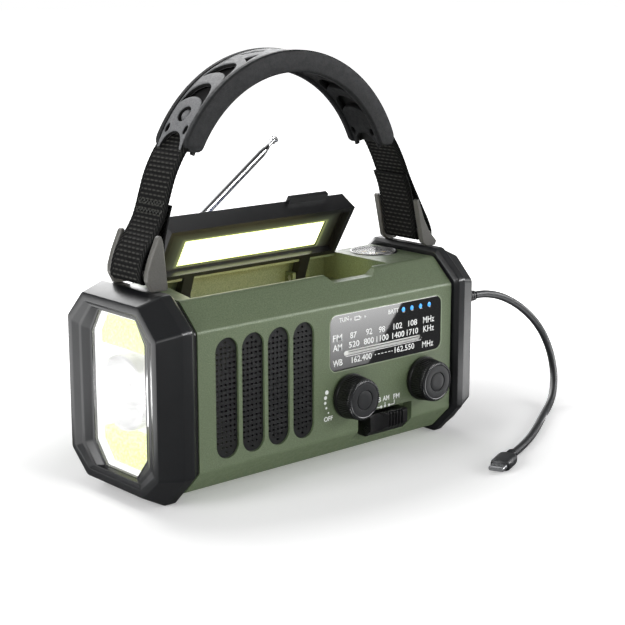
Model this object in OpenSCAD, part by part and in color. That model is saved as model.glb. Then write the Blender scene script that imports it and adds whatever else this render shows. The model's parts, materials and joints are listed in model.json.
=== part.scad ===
// Emergency radio with hand crank, solar and reading-lamp lid, front lamp and carrying handle.
// Millimetres. X runs along the case (lamp end at -X), -Y is the front, Z is up, floor at Z = 0.

/* [Case] */
// Length of the green case between its end gaskets
case_len = 170; // [150:1:200]
// Half of the green case's depth
case_hd = 38.2; // [32:0.1:46]
// Wall thickness of the moulded shells
wall = 2.2; // [1.5:0.1:4]
// Radius on the long edges of the case
edge_r = 3; // [0.5:0.5:6]

/* [Lid] */
// How far the lid stands open at rest, in degrees
lid_open = 59; // [0:1:59]
// Thickness of the lid
lid_t = 12; // [8:0.5:14]

/* [Antenna] */
// Elevation of the antenna at rest, in degrees
ant_tilt = 36.1; // [0:0.1:90]
// Length of the antenna's outer tube from its pivot
ant_len = 117; // [80:1:125]

/* [Knobs] */
// Radius of the volume and tuning knobs at the case
knob_r = 11.8; // [8:0.1:13]
// Length of the knobs
knob_len = 11.6; // [6:0.1:16]

/* [Handle] */
// Outer radius of the moulded grip's arch
grip_r = 75.4; // [65:0.1:85]
// Width of the grip
grip_w = 26; // [20:0.5:32]
// Width of the webbing
web_w = 25; // [15:0.5:28]
// Thickness of the webbing
web_t = 1.5; // [1:0.1:2.5]

/* [Hidden] */
$fn = 64;
hx = case_len / 2;
lid_y = 25.2;
lid_z = 87.5;
kx = [11.2, 63.6];
kz = 37.8;
slot_x = [-67.8, -51.7, -35.6, -19.5];
ax = -79;
ay = 34;
az = 88;
cx = 20;
reach = 61.6;
arm_len = 48;
cz = 50;
gear_m = 0.8;
ix = cx + 22.4 * cos(35);
iz = cz + 22.4 * sin(35);
px = ix + 22.4 * cos(-60);
pz = iz + 22.4 * sin(-60);
gx = -3.5;
gz = 136.6;
posts = [[-81, 20], [-81, 68], [81, 20], [81, 68]];

GREEN = [0.40, 0.48, 0.35];
BLACK = [0.09, 0.09, 0.10];
DARK = [0.16, 0.16, 0.17];
GREY = [0.55, 0.56, 0.58];
CHROME = [0.80, 0.81, 0.83];
WHITE = [0.95, 0.95, 0.93];
BRASS = [0.80, 0.68, 0.40];

// ---- helpers --------------------------------------------------------------------------

// Octagon section in (y, z): half depth, bottom, top, side from / to, top half, bottom half
function oct(hd, z0, z1, zl, zu, th, bh) =
  [[-bh, z0], [bh, z0], [hd, zl], [hd, zu], [th, z1], [-th, z1], [-hd, zu], [-hd, zl]];

function unit(v) = v / norm(v);
function at(p, i) = p[(i + len(p)) % len(p)];

// Corner i of a convex outline, rounded by radius r in n steps
function corner(p, i, r, n) =
  let (a = unit(at(p, i - 1) - p[i]), b = unit(at(p, i + 1) - p[i]),
    h = acos(a * b) / 2, c = p[i] + unit(a + b) * r / sin(h),
    t0 = p[i] + a * r / tan(h) - c, t1 = p[i] + b * r / tan(h) - c,
    s0 = atan2(t0[1], t0[0]), d = atan2(t1[1], t1[0]) - s0,
    e = d < -180 ? d + 360 : (d > 180 ? d - 360 : d))
  [for (k = [0:n]) c + r * [cos(s0 + e * k / n), sin(s0 + e * k / n)]];

function rounded(p, r, n = 4) = [for (i = [0:len(p) - 1]) for (q = corner(p, i, r, n)) q];

// Outline moved in by d all round
function inset(p, d) = [for (i = [0:len(p) - 1])
  let (a = unit(at(p, i - 1) - p[i]), b = unit(at(p, i + 1) - p[i]), h = acos(a * b) / 2)
  p[i] + unit(a + b) * d / sin(h)];

// Prism along X from an outline in (y, z)
module prism_x(x0, x1, p) {
  translate([x0, 0, 0]) rotate([90, 0, 90]) linear_extrude(x1 - x0) polygon(p);
}

// Plate in the plane of the front, from an outline in (x, z)
module plate_y(y0, y1) {
  translate([0, y1, 0]) rotate([90, 0, 0]) linear_extrude(y1 - y0) children();
}

// Skin through sections [x, outline], each outline with the same number of points
module loft(s) {
  n = len(s[0][1]);
  m = len(s);
  pts = [for (j = [0:m - 1]) for (q = s[j][1]) [s[j][0], q[0], q[1]]];
  quads = [for (j = [0:m - 2]) for (i = [0:n - 1])
    let (a = j * n + i, b = j * n + (i + 1) % n)
    each [[a, a + n, b], [b, a + n, b + n]]];
  first = [[for (i = [0:n - 1]) i]];
  last = [[for (i = [0:n - 1]) (m - 1) * n + n - 1 - i]];
  polyhedron(pts, concat(quads, first, last));
}

module box(a, b) {
  translate(a) cube(b - a);
}

module rod_y(x, z, y0, y1, r) {
  translate([x, y0, z]) rotate([-90, 0, 0]) cylinder(r = r, h = y1 - y0);
}

module cone_y(x, z, y0, y1, r0, r1) {
  translate([x, y0, z]) rotate([-90, 0, 0]) cylinder(r1 = r0, r2 = r1, h = y1 - y0);
}

module rod_x(y, z, x0, x1, r) {
  translate([x0, y, z]) rotate([0, 90, 0]) cylinder(r = r, h = x1 - x0);
}

module rod_z(x, y, z0, z1, r) {
  translate([x, y, z0]) cylinder(r = r, h = z1 - z0);
}

module stadium(x, z0, z1, w) {
  translate([x - w / 2, z0 + w / 2]) square([w, z1 - z0 - w]);
  translate([x, z0 + w / 2]) circle(w / 2);
  translate([x, z1 - w / 2]) circle(w / 2);
}

module round_rect(x0, z0, x1, z1, r) {
  translate([x0 + r, z0]) square([x1 - x0 - 2 * r, z1 - z0]);
  translate([x0, z0 + r]) square([x1 - x0, z1 - z0 - 2 * r]);
  for (x = [x0 + r, x1 - r]) for (z = [z0 + r, z1 - r]) translate([x, z]) circle(r);
}

// Ribbon of thickness t along the points p of a plane
function side(p, i, s) =
  let (a = p[max(i - 1, 0)], b = p[min(i + 1, len(p) - 1)], d = unit(b - a))
  p[i] + s * [-d[1], d[0]];
function ribbon(p, t) = concat([for (i = [0:len(p) - 1]) side(p, i, t / 2)],
  [for (i = [len(p) - 1:-1:0]) side(p, i, -t / 2)]);

// Involute gear outline, thinned by the backlash b and turned by a0 degrees
function inv(a) = tan(a) - a * PI / 180;
function half_tooth(z, r, b) =
  let (rp = gear_m * z / 2, rb = rp * cos(20), q = max(r, rb), a = acos(rb / q))
  90 / z - b / rp * 180 / PI + (inv(20) - inv(a)) * 180 / PI;
function gear(z, b, a0) =
  let (rp = gear_m * z / 2, rs = [rp - 1.15 * gear_m, rp - 0.4 * gear_m, rp, rp + 0.4 * gear_m,
    rp + 0.8 * gear_m])
  [for (k = [0:z - 1]) let (c = a0 + 360 * k / z) each concat(
    [for (r = rs) r * [cos(c - half_tooth(z, r, b)), sin(c - half_tooth(z, r, b))]],
    [for (i = [4:-1:0]) rs[i] * [cos(c + half_tooth(z, rs[i], b)),
      sin(c + half_tooth(z, rs[i], b))]])];

function body_out() = oct(case_hd, 4, 99, 17, 86, 24.4, 25.6);
function flange() = oct(41.5, 0, 103, 17, 88, 24.6, 25);

// ---- green case -----------------------------------------------------------------------

module lid_well() {
  translate([0, 0, 84]) linear_extrude(40)
    polygon([[-71, 19.8], [53.2, 19.8], [53.2, -22.6], [-77, -22.6], [-71, 2]]);
  box([-71, 10, 84], [53.2, 28.6, 97]);
  for (x = [-47, 31]) box([x - 3.6, 10, 84], [x + 3.6, 25.5, 120]);
  plate_y(-34, -20) polygon([[4.5, 101], [9.3, 95.2], [36, 95.2], [40.6, 98.2], [40.6, 101]]);
}

module antenna_bay() {
  rod_z(ax, ay, 79.4, 120, 5.6);
  box([ax, 30.8, 84.2], [51, 50, 120]);
}

module main_shell() {
  color(GREEN) difference() {
    union() {
      difference() {
        intersection() {
          prism_x(-hx, hx, rounded(body_out(), edge_r));
          box([-hx, -60, 0], [hx, 30, 110]);
        }
        difference() {
          prism_x(-hx - 1, hx + 1, inset(body_out(), wall));
          box([-79, -25, 82], [55.2, 30.6, 110]);
          box([15.6, -40, 4], [58.4, -29.7, 28.2]);
          rod_z(71, 7.5, 92.8, 110, 14.4);
          rod_z(ax, ay, 77.4, 110, 7.6);
          for (p = posts) rod_y(p[0], p[1], 10, 31, 3.4);
          for (x = [-81, 81]) box([x - 1, 12, 0], [x + 1, 14.4, 110]);
        }
      }
      for (x = [-47, 31]) for (s = [-1, 1]) box([x + s * 4.7 - 1.1, 22.4, 83.5],
        [x + s * 4.7 + 1.1, 29, 90.6]);
    }
    difference() {
      lid_well();
      for (x = [-47, 31]) for (s = [-1, 1]) box([x + s * 4.7 - 1.1, 22.4, 83.5],
        [x + s * 4.7 + 1.1, 29, 90.6]);
    }
    for (x = [-47, 31]) rod_x(lid_y, lid_z, x - 5.9, x + 5.9, 1.5);
    antenna_bay();
    plate_y(-40, -34) for (x = slot_x) stadium(x, 21.3, 81.1, 13.8);
    plate_y(-40, -34) round_rect(-2.2, 51.8, 77.6, 81.1, 4.5);
    for (x = kx) rod_y(x, kz, -40, -34, 4.2);
    box([17.6, -45, 9.4], [56.4, -31.5, 26.4]);
    box([27.4, -32, 16], [46.6, -29, 22]);
    rod_z(71, 7.5, 95, 110, 13.2);
    for (p = posts) rod_y(p[0], p[1], 12, 32, 1.2);
  }
}

// A pocket for the crank's knob, on either side of the hub
module crank_turn(a) {
  translate([cx, 0, cz]) rotate([0, a, 0]) translate([0, 0, -cz]) children();
}

module rear_cover() {
  color(GREEN) difference() {
    union() {
      difference() {
        intersection() {
          prism_x(-hx, hx, rounded(body_out(), edge_r));
          box([-hx, 30, 0], [hx, 50, 110]);
        }
        difference() {
          prism_x(-hx + 2, hx - 2, inset(body_out(), wall));
          box([-hx, 28, 82.2], [53, 60, 110]);
          rod_z(ax, ay, 77.4, 110, 7.6);
        }
      }
      for (a = [0, 180]) crank_turn(a) box([37.2, 14.8, 38], [reach + 1.6, 36.5, 62]);
      box([cx - reach - 1.6, 28, 38], [cx + reach + 1.6, 36.5, 62]);
      rod_y(cx, cz, 26.6, 30, 6);
      rod_y(ix, iz, 26, 36.5, 3.4);
      for (p = posts) rod_y(p[0], p[1], 30, 36.5, 3.8);
    }
    antenna_bay();
    box([cx - reach, 29.8, 39.8], [cx + reach, 50, 60.2]);
    for (a = [0, 180]) crank_turn(a) box([38.8, 16.4, 39.8], [reach, 50, 60.2]);
    rod_y(cx, cz, 20, 36, 3.05);
    rod_y(ix, iz, 20, 33, 1.5);
    for (p = posts) {
      rod_y(p[0], p[1], 28, 50, 1.5);
      rod_y(p[0], p[1], 36, 50, 2.9);
    }
  }
}

module gasket(x0, x1) {
  color(BLACK) difference() {
    prism_x(x0, x1, rounded(oct(37.7, 4.6, 98.4, 17.2, 85.8, 24.1, 25.3), 3));
    prism_x(x0 - 1, x1 + 1, rounded(oct(32.5, 9.8, 93.2, 19.2, 83.6, 21.8, 23), 3));
  }
}

module gasket_left() { gasket(-87.7, -hx); }

module gasket_right() { gasket(hx, 86.4); }

module case_screws() {
  color(GREY) for (p = posts) difference() {
    union() {
      rod_y(p[0], p[1], 36, 38, 2.8);
      rod_y(p[0], p[1], 16, 36.2, 1.18);
    }
    for (a = [0, 90]) translate([p[0], 38, p[1]]) rotate([0, a, 0]) box([-1.7, -1, -0.3],
      [1.7, 1, 0.3]);
  }
}

// ---- lamp end ---------------------------------------------------------------------------

module lamp_housing() {
  color(BLACK) difference() {
    loft([[-108, rounded(oct(36.9, 6.3, 99.2, 17.8, 85.4, 23.2, 23.9), 3)],
      [-96, rounded(flange(), 3.5)], [-90.2, rounded(flange(), 3.5)],
      [-87.7, rounded(inset(flange(), 2.2), 3.3)]]);
    loft([[-108.5, rounded(oct(33.4, 10.2, 95, 19.6, 83.4, 21.4, 22), 2)],
      [-106.4, rounded(oct(29.6, 11.6, 93.6, 21, 82, 19.6, 19.4), 2)]]);
    loft([[-106.5, rounded(oct(27.6, 12.2, 92.6, 22, 81.4, 18.4, 17.6), 2)],
      [-104, rounded(oct(23.2, 12.6, 91.6, 23.6, 80.4, 15.8, 14), 2)]]);
    prism_x(-104.2, -100, rounded(window(), 2));
    prism_x(-100.6, -87, rounded(oct(35.5, 5.5, 97.5, 18.8, 85.8, 22.4, 23), 2));
  }
}

function window() = oct(22, 13, 91, 24, 80, 15, 13);

module lamp_reflector() {
  color(WHITE) difference() {
    prism_x(-102.2, -91, rounded(inset(window(), 0.2), 2));
    prism_x(-103, -92, rounded(inset(window(), 1.2), 1.2));
  }
  color(WHITE) difference() {
    translate([-92, 0, 52.2]) rotate([0, -90, 0]) rotate_extrude()
      polygon([[4.6, 0.2], [9, 2], [13.5, 5.2], [16.6, 8.6], [17.6, 10], [18.9, 10], [18.9, 0],
        [4.6, 0]]);
    rod_x(0, 52.2, -93, -91, 4);
  }
}

module spot_led() {
  color([1, 0.95, 0.6]) rod_x(0, 52.2, -94.4, -92, 4.5);
}

module cob_lamps() {
  color([0.93, 0.98, 0.55]) for (z = [73.2, 13]) intersection() {
    box([-102, -16, z], [-92.02, 16, z + 18]);
    prism_x(-103, -92.02, rounded(inset(window(), 1.3), 1));
  }
}

module lamp_lens() {
  color([0.9, 0.95, 1, 0.4]) prism_x(-104, -102.2, rounded(inset(window(), 0.1), 2));
}

// ---- right end --------------------------------------------------------------------------

module right_cap() {
  color(BLACK) difference() {
    loft([[86.4, rounded(inset(flange(), 2.2), 3.3)], [88, rounded(flange(), 3.5)],
      [92.4, rounded(flange(), 3.5)], [93.2, rounded(oct(40.6, 1.4, 101.6, 17.6, 87.4, 25.4, 25.6), 3.5)],
      [101, rounded(oct(38.6, 5.5, 97.8, 20.4, 85.8, 26.6, 26.4), 3.5)]]);
    prism_x(86, 98.4, rounded(oct(33, 9, 94, 19.4, 83.4, 21.8, 23), 3));
    box([98, -14.6, 62.8], [102, -1.4, 71.8]);
    box([98, 8, 60], [102, 24, 75]);
    rod_x(-18, 40, 98, 102, 4.4);
    rod_x(18, 40, 98, 102, 4.4);
  }
}

module usb_port() {
  color(CHROME) difference() {
    box([84, -14.5, 62.9], [99.6, -1.5, 71.7]);
    box([89, -14.2, 65], [99.7, -1.8, 69.6]);
  }
}

module side_ports() {
  color(DARK) difference() {
    box([87, 8.1, 60.1], [99.6, 23.9, 74.9]);
    rod_x(16, 70, 87.9, 99.7, 1.8);
    box([92, 11.4, 61.6], [99.7, 20.6, 64.9]);
  }
}

module button(y, r) {
  rod_x(y, 40, 97.2, 102.2, 4.3);
  rod_x(y, 40, 96, 97.6, 5.4);
}

module lamp_button() { color(DARK) button(-18); }

module sos_button() { color([0.75, 0.1, 0.08]) button(18); }

// ---- handle brackets ----------------------------------------------------------------------

module bracket_left() {
  color(DARK) {
    for (y = [[-17, -13.6], [13.6, 17]]) plate_y(y[0], y[1]) polygon([[-94.6, 103],
      [-97.6, 108.6], [-97.4, 112.4], [-95, 119.5], [-90.6, 129], [-89, 129.6], [-88, 127],
      [-85.6, 104], [-86.4, 103]]);
    box([-95.5, -14, 108], [-88, 14, 110.6]);
  }
}

module bracket_right() {
  color(BLACK) {
    for (y = [[-17, -13.6], [13.6, 17]]) plate_y(y[0], y[1]) polygon([[88.3, 103],
      [84.8, 105.5], [82, 118], [79.6, 128.6], [81, 129.6], [85.4, 118.4], [89.4, 111.4],
      [95.2, 105.4], [94.2, 103]]);
    box([86.6, -14, 108], [93.5, 14, 110.6]);
  }
}

// ---- front controls -----------------------------------------------------------------------

module hole_grid(x) {
  for (c = [-2:2]) for (k = [0:21]) if (!((abs(c) == 2 && (k < 2 || k > 19)) ||
      (abs(c) == 1 && (k < 1 || k > 20))))
    translate([x + c * 2.6, 51.2 + (k - 10.5) * 2.6]) circle(0.58, $fn = 16);
}

module speaker_grille() {
  color(BLACK) {
    plate_y(-37, -35.2) difference() {
      for (x = slot_x) stadium(x, 21.35, 81.05, 13.7);
      for (x = slot_x) hole_grid(x);
    }
    plate_y(-36, -35.2) difference() {
      translate([-77, 19]) square([68, 64.4]);
      for (x = slot_x) stadium(x, 21.35, 81.05, 13.7);
    }
  }
}

module speaker_basket() {
  color(GREY) translate([-43.6, -35.2, 51.2]) rotate([-90, 0, 0]) {
    difference() {
      cylinder(r = 29, h = 1.4);
      translate([0, 0, -1]) cylinder(r = 26, h = 4);
    }
    difference() {
      translate([0, 0, 1.4]) cylinder(r1 = 28, r2 = 13, h = 12);
      translate([0, 0, 1.3]) cylinder(r1 = 26.6, r2 = 11.6, h = 12.2);
    }
    translate([0, 0, 13.4]) cylinder(r = 16, h = 10);
  }
}

module speaker_cone() {
  color(DARK) translate([-43.6, -35.2, 51.2]) rotate([-90, 0, 0]) rotate_extrude()
    polygon([[0, 3.4], [4, 4.4], [8, 8.4], [10, 9.6], [24, 2], [25.9, 1.6], [25.9, 0.8], [24, 1],
      [10, 8.4], [8.4, 7.4], [4.4, 3.4], [0, 2.2]]);
}

module dial_window() {
  color([0.8, 0.85, 0.9, 0.3]) plate_y(-38.1, -36) round_rect(-2.1, 51.9, 77.5, 81, 4.4);
}

module dial_plate() {
  color(BLACK) plate_y(-36, -35.2) difference() {
    translate([-5, 49]) square([86, 35]);
    stadium_x(7.6, 63.4, 60.2, 2.9);
    for (x = [49.7, 55.9, 62.3, 68.8]) translate([x, 77.1]) circle(1.35);
  }
}

module stadium_x(x0, x1, z, w) {
  translate([x0 + w / 2, z - w / 2]) square([x1 - x0 - w, w]);
  for (x = [x0 + w / 2, x1 - w / 2]) translate([x, z]) circle(w / 2);
}

module battery_leds() {
  color([0.2, 0.5, 1]) for (x = [49.7, 55.9, 62.3, 68.8]) rod_y(x, 77.1, -35.98, -33.6, 1.3);
}

module tuning_rail() {
  color(GREY) {
    rod_x(-33, 60.2, 1, 70, 1);
    for (x = [0, 70]) box([x, -35.2, 58.2], [x + 1.4, -32, 62.2]);
  }
}

module tuning_pointer() {
  color(WHITE) {
    box([8.9, -35.9, 59], [10.3, -34.4, 61.4]);
    difference() {
      box([6.6, -34.9, 58.4], [12.6, -31.6, 62]);
      rod_x(-33, 60.2, 6, 13, 1.05);
    }
  }
}

module knob(x) {
  y0 = -case_hd - 0.5;
  y1 = y0 - knob_len;
  difference() {
    union() {
      cone_y(x, kz, y0 - knob_len + 3.4, y0, knob_r - 0.9, knob_r);
      cone_y(x, kz, y1 + 0.9, y1 + 3.4, knob_r - 1.2, knob_r - 0.9);
      cone_y(x, kz, y1, y1 + 0.9, knob_r - 2, knob_r - 1.2);
    }
    difference() {
      rod_y(x, kz, y1 - 1, y1 + 0.6, 5);
      cone_y(x, kz, y1 - 1, y1 + 0.7, 4.3, 4.3);
    }
    rod_y(x, kz, y1 - 1, y1 + 0.25, 4.4);
  }
  rod_y(x, kz, y0 - 0.5, -27.5, 3);
}

module volume_knob() { color(BLACK) knob(kx[0]); }

module tuning_knob() { color(BLACK) knob(kx[1]); }

module volume_pot() {
  color(GREY) difference() {
    box([kx[0] - 8, -35.9, kz - 8], [kx[0] + 8, -24, kz + 8]);
    rod_y(kx[0], kz, -37, -27.2, 3.05);
  }
}

module tuning_capacitor() {
  color([0.85, 0.85, 0.8]) difference() {
    box([kx[1] - 9, -35.9, kz - 9], [kx[1] + 9, -24, kz + 9]);
    rod_y(kx[1], kz, -37, -27.2, 3.05);
  }
}

module band_slider() {
  color(BLACK) difference() {
    prism_x(22.6, 49, [[-31.7, 14], [-31.7, 25], [-41.6, 25], [-42.6, 24], [-42.6, 17.4], [-38.4, 13.4],
      [-33.6, 13.4]]);
    translate([28.5, -52.6, 0]) cylinder(r = 12, h = 60, $fn = 96);
    for (x = [36.2, 38.4, 40.6, 42.8, 45]) box([x - 0.5, -45, 10], [x + 0.5, -41.7, 30]);
  }
  color(BLACK) box([33, -31.8, 17], [39, -29.6, 21]);
}

module band_switch() {
  color(GREY) box([24, -29.5, 13], [50, -24, 25]);
}

module main_board() {
  color([0.05, 0.3, 0.15]) difference() {
    box([-6, -24, 12], [82, -22.4, 81.4]);
    rod_y(71, 62, -25, -20, 1.5);
  }
}

module battery_cells() {
  color([0.2, 0.35, 0.6]) for (y = [1.5, 20.4]) {
    rod_x(y, 17.2, -76.5, -13, 9.2);
    rod_x(y, 17.2, -13.1, -11.6, 3);
  }
}

// ---- compass ------------------------------------------------------------------------------

module compass_cup() {
  color(BLACK) translate([71, 7.5, 0]) difference() {
    union() {
      translate([0, 0, 95]) cylinder(r = 13.15, h = 4.4);
    }
    translate([0, 0, 96]) cylinder(r = 12, h = 5);
  }
  color(BRASS) rod_z(71, 7.5, 95.5, 97.9, 0.4);
}

module compass_card() {
  color(WHITE) translate([71, 7.5, 0]) difference() {
    translate([0, 0, 97.2]) cylinder(r = 11.4, h = 0.6);
    translate([0, 0, 97]) cylinder(r = 0.46, h = 2);
  }
}

module compass_dome() {
  color([0.9, 0.95, 1, 0.3]) translate([71, 7.5, 0]) difference() {
    intersection() {
      translate([0, 0, 101.9 - 33]) sphere(r = 33, $fn = 128);
      translate([0, 0, 98.6]) cylinder(r = 11.96, h = 4);
    }
    translate([0, 0, 101.1 - 33]) sphere(r = 33, $fn = 128);
  }
}

// ---- lid ----------------------------------------------------------------------------------

module lid_pose() {
  translate([0, lid_y, lid_z]) rotate([-lid_open, 0, 0]) translate([0, -lid_y, -lid_z]) children();
}

module lid_frame() {
  color(BLACK) lid_pose() difference() {
    union() {
      box([-69, -19.6, 99.6 - lid_t], [52, 12.4, 99.6]);
      box([-54, 12, 97.4], [50, 16.7, 99.6]);
      box([12, -23.2, 97], [38.4, -19, 99.6]);
      for (x = [-47, 31]) {
        prism_x(x - 3.2, x + 3.2, [[11, 87.7], [11, 91.4], [23.8, 90.1], [25.2, 84.8]]);
        rod_x(lid_y, lid_z, x - 3.2, x + 3.2, 2.9);
      }
    }
    box([-66.5, -17.1, 87], [49.5, 9.9, 91.6]);
    box([-54.2, -8.8, 91], [39.2, 8.1, 95.2]);
    box([-64, -15.6, 98.4], [47, 13.4, 100]);
    for (x = [-47, 31]) rod_x(lid_y, lid_z, x - 4, x + 4, 1.55);
  }
}

module reading_lamp() {
  color(WHITE) lid_pose() box([-54, -8.6, 92], [39, 7.9, 95.2]);
}

module solar_panel() {
  color([0.08, 0.1, 0.25]) lid_pose() box([-63.8, -15.4, 98.4], [46.8, 13.2, 99.4]);
}

module lid_hinge_pins() {
  color(GREY) for (x = [-47, 31]) rod_x(lid_y, lid_z, x - 5.8, x + 5.8, 1.48);
}

// ---- antenna --------------------------------------------------------------------------------

module antenna_base() {
  color(CHROME) {
    rod_z(ax, ay, 79.5, 84.2, 4.4);
    difference() {
      for (s = [-1, 1]) box([ax - 2.8, ay + s * 2.2 - 0.8, 84.1], [ax + 2.8, ay + s * 2.2 + 0.8, 90.6]);
      rod_y(ax, az, 28, 40, 1);
    }
    rod_y(ax, az, 30.9, 37.1, 1);
  }
}

module ant_pose() {
  translate([ax, ay, az]) rotate([0, 90 - ant_tilt, 0]) children();
}

module antenna_tube() {
  color(CHROME) ant_pose() difference() {
    union() {
      translate([0, 0, 4.6]) cylinder(r = 2.5, h = ant_len - 8);
      translate([0, 0, ant_len - 3.4]) cylinder(r1 = 2.5, r2 = 2.2, h = 3.4);
      translate([-2.2, -1.3, -2.2]) cube([4.4, 2.6, 9]);
    }
    translate([0, 0, 8]) cylinder(r = 1.95, h = ant_len);
    rotate([90, 0, 0]) translate([0, 0, -5]) cylinder(r = 1.05, h = 10);
  }
}

module antenna_mid() {
  color(CHROME) ant_pose() difference() {
    union() {
      translate([0, 0, 10]) cylinder(r = 1.9, h = ant_len - 9.2);
      translate([0, 0, ant_len + 0.2]) cylinder(r1 = 1.9, r2 = 1.3, h = 3);
    }
    translate([0, 0, 12]) cylinder(r = 1.15, h = ant_len);
  }
}

module antenna_tip() {
  color(CHROME) ant_pose() {
    translate([0, 0, 14]) cylinder(r = 1.1, h = ant_len - 7.2);
    translate([0, 0, ant_len + 6.4]) cylinder(r = 1.9, h = 0.9);
    translate([0, 0, ant_len + 7.2]) cylinder(r1 = 1.6, r2 = 2.3, h = 1.6);
    translate([0, 0, ant_len + 8.7]) cylinder(r1 = 2.3, r2 = 1.2, h = 1.2);
  }
}

// ---- crank and generator ----------------------------------------------------------------------

module crank_hub() {
  color(DARK) {
    rod_y(cx, cz, 30.2, 32.6, 9.6);
    rod_y(cx, cz, 20.4, 30.4, 3);
    difference() {
      for (s = [-1, 1]) box([cx - 3.6, 32.4, cz + s * 5.9 - 1.6], [cx + 3.6, 42.4, cz + s * 5.9 + 1.6]);
      rod_z(cx, 38.8, cz - 9, cz + 9, 1.5);
    }
    rod_z(cx, 38.8, cz - 7.4, cz + 7.4, 1.5);
  }
}

module crank_gear() {
  color(WHITE) plate_y(21.6, 25.6) difference() {
    translate([cx, cz]) polygon(gear(42, 0.1, 35));
    translate([cx, cz]) circle(3);
  }
}

module crank_arm() {
  color(DARK) difference() {
    union() {
      rod_z(cx, 38.8, cz - 4.1, cz + 4.1, 3.4);
      box([cx, 39.6, cz - 4.1], [cx + 14, 44.6, cz + 4.1]);
      plate_y(39.6, 44.6) {
        translate([cx + 12, cz - 7]) square([arm_len - 12, 14]);
        translate([cx + arm_len, cz]) circle(8.5);
      }
      rod_y(cx + arm_len, cz, 44, 60.2, 2);
      rod_y(cx + arm_len, cz, 59.4, 60.4, 4);
    }
    rod_z(cx, 38.8, cz - 9, cz + 9, 1.55);
  }
}

module crank_knob() {
  color(BLACK) difference() {
    union() {
      cone_y(cx + arm_len, cz, 45, 47, 7.4, 8.4);
      cone_y(cx + arm_len, cz, 47, 57.2, 8.4, 7.6);
      cone_y(cx + arm_len, cz, 57.2, 59.2, 7.6, 6.4);
    }
    rod_y(cx + arm_len, cz, 44, 61, 2.05);
  }
}

module idler_gear() {
  color(WHITE) difference() {
    union() {
      plate_y(20.5, 25.6) translate([ix, iz]) polygon(gear(14, 0.1, 35 + 180 / 14));
      plate_y(16.6, 20.6) translate([ix, iz]) polygon(gear(42, 0.1, -60));
    }
    rod_y(ix, iz, 16, 26, 1.55);
  }
}

module generator_pinion() {
  color(BRASS) {
    plate_y(16.6, 20.6) translate([px, pz]) polygon(gear(14, 0.1, 120 + 180 / 14));
    rod_y(px, pz, -3, 17, 1.4);
  }
}

module generator() {
  color(GREY) difference() {
    rod_y(px, pz, -6, 13.4, 14);
    rod_y(px, pz, -3.4, 14, 1.45);
  }
}

module gear_plate() {
  color(GREY) {
    difference() {
      box([cx - 6, 13.4, 26], [cx + 46.4, 14.5, 81.6]);
      rod_y(px, pz, 13, 16, 1.45);
    }
    difference() {
      for (p = [[cx - 3.5, 79], [cx + 43.8, 79], [cx + 43.8, 28.5]]) rod_y(p[0], p[1], 14.4, 36, 2);
      box([10, 36, 20], [90, 37, 90]);
    }
    rod_y(ix, iz, 14.4, 32.9, 1.48);
  }
}

// ---- handle -----------------------------------------------------------------------------------

LEFT_WEB = [[-62.2, 175.4], [-67.4, 170.3], [-72.2, 164.6], [-77, 156], [-80.4, 146.8], [-82.9, 139.2],
  [-85.2, 134], [-88.6, 128.8], [-93.8, 122], [-96.6, 116.4], [-98, 110.4], [-97.8, 108.2],
  [-96.6, 107], [-95, 106.7], [-88.6, 106.7], [-86.6, 107.1], [-85.6, 108.6], [-85.2, 111],
  [-85, 118], [-84, 126], [-81.9, 134.6], [-79.4, 142.4]];

RIGHT_WEB = [[56.4, 172.2], [62.6, 167.4], [68, 160.5], [72.6, 152.4], [76.4, 142.6], [78.6, 135.6],
  [81.2, 125.8], [83.1, 115.4], [83.7, 110.6], [84.1, 108.4], [85.3, 107], [87, 106.7],
  [92.6, 106.7], [94.6, 107.2], [95.4, 108.8], [94.7, 112], [92, 117.6], [88.6, 123],
  [84, 130.6], [80.7, 138], [78.8, 143.4]];

module strap_left() {
  color(BLACK) plate_y(-web_w / 2, web_w / 2) polygon(ribbon(LEFT_WEB, web_t));
}

module strap_right() {
  color(BLACK) plate_y(-web_w / 2, web_w / 2) polygon(ribbon(RIGHT_WEB, web_t));
}

// Ring sector about the grip's centre, from an outline in (radius, y)
module grip_arc(a0, a1, p) {
  translate([gx, 0, gz]) rotate([90, 0, 0]) rotate([0, 0, a0])
    rotate_extrude(angle = a1 - a0, $fn = 180) polygon(p);
}

module grip_cut(a, r0, r1, y0, y1) {
  translate([gx, 0, gz]) rotate([0, -a, 0]) box([r0, y0, -r1], [90, y1, r1]);
}

module grip() {
  w = grip_w / 2;
  color(BLACK) difference() {
    union() {
      for (s = [-1, 1]) grip_arc(19.5, 155, [[64.5, s * (w - 3.4)], [64.5, s * (w - 0.8)],
        [65.3, s * w], [grip_r - 0.8, s * w], [grip_r, s * (w - 0.8)], [grip_r, s * (w - 3.4)]]);
      grip_arc(24, 150.5, [[72.4, -w + 3], [72.4, w - 3], [grip_r - 0.4, w - 3.2],
        [grip_r - 0.4, -w + 3.2]]);
      grip_arc(24, 150.5, [[65.4, -w + 3], [65.4, w - 3], [68.2, w - 3], [68.2, -w + 3]]);
    }
    for (a = [117, 127, 58, 48]) grip_cut(a, 69, 1.6, -6.5, 6.5);
    for (a = [138, 37]) translate([gx, 0, gz]) rotate([0, 90 - a, 0]) rod_z(0, 0, 69, 90, 2.6);
    for (a = [84, 90, 96]) for (s = [-1, 1]) grip_cut(a, 69, 1, s * 4 - 1.6, s * 4 + 1.6);
    for (a = [29, 146]) for (s = [-1, 1]) translate([gx, 0, gz]) rotate([0, 90 - a, 0])
      rod_z(0, s * 7.2, 69, 90, 1);
    for (a = [23, 151.5]) translate([gx, 0, gz]) rotate([0, 90 - a, 0]) rod_z(0, 0, 69, 90, 8.4);
  }
}

// ---- charging cable -----------------------------------------------------------------------------

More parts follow.
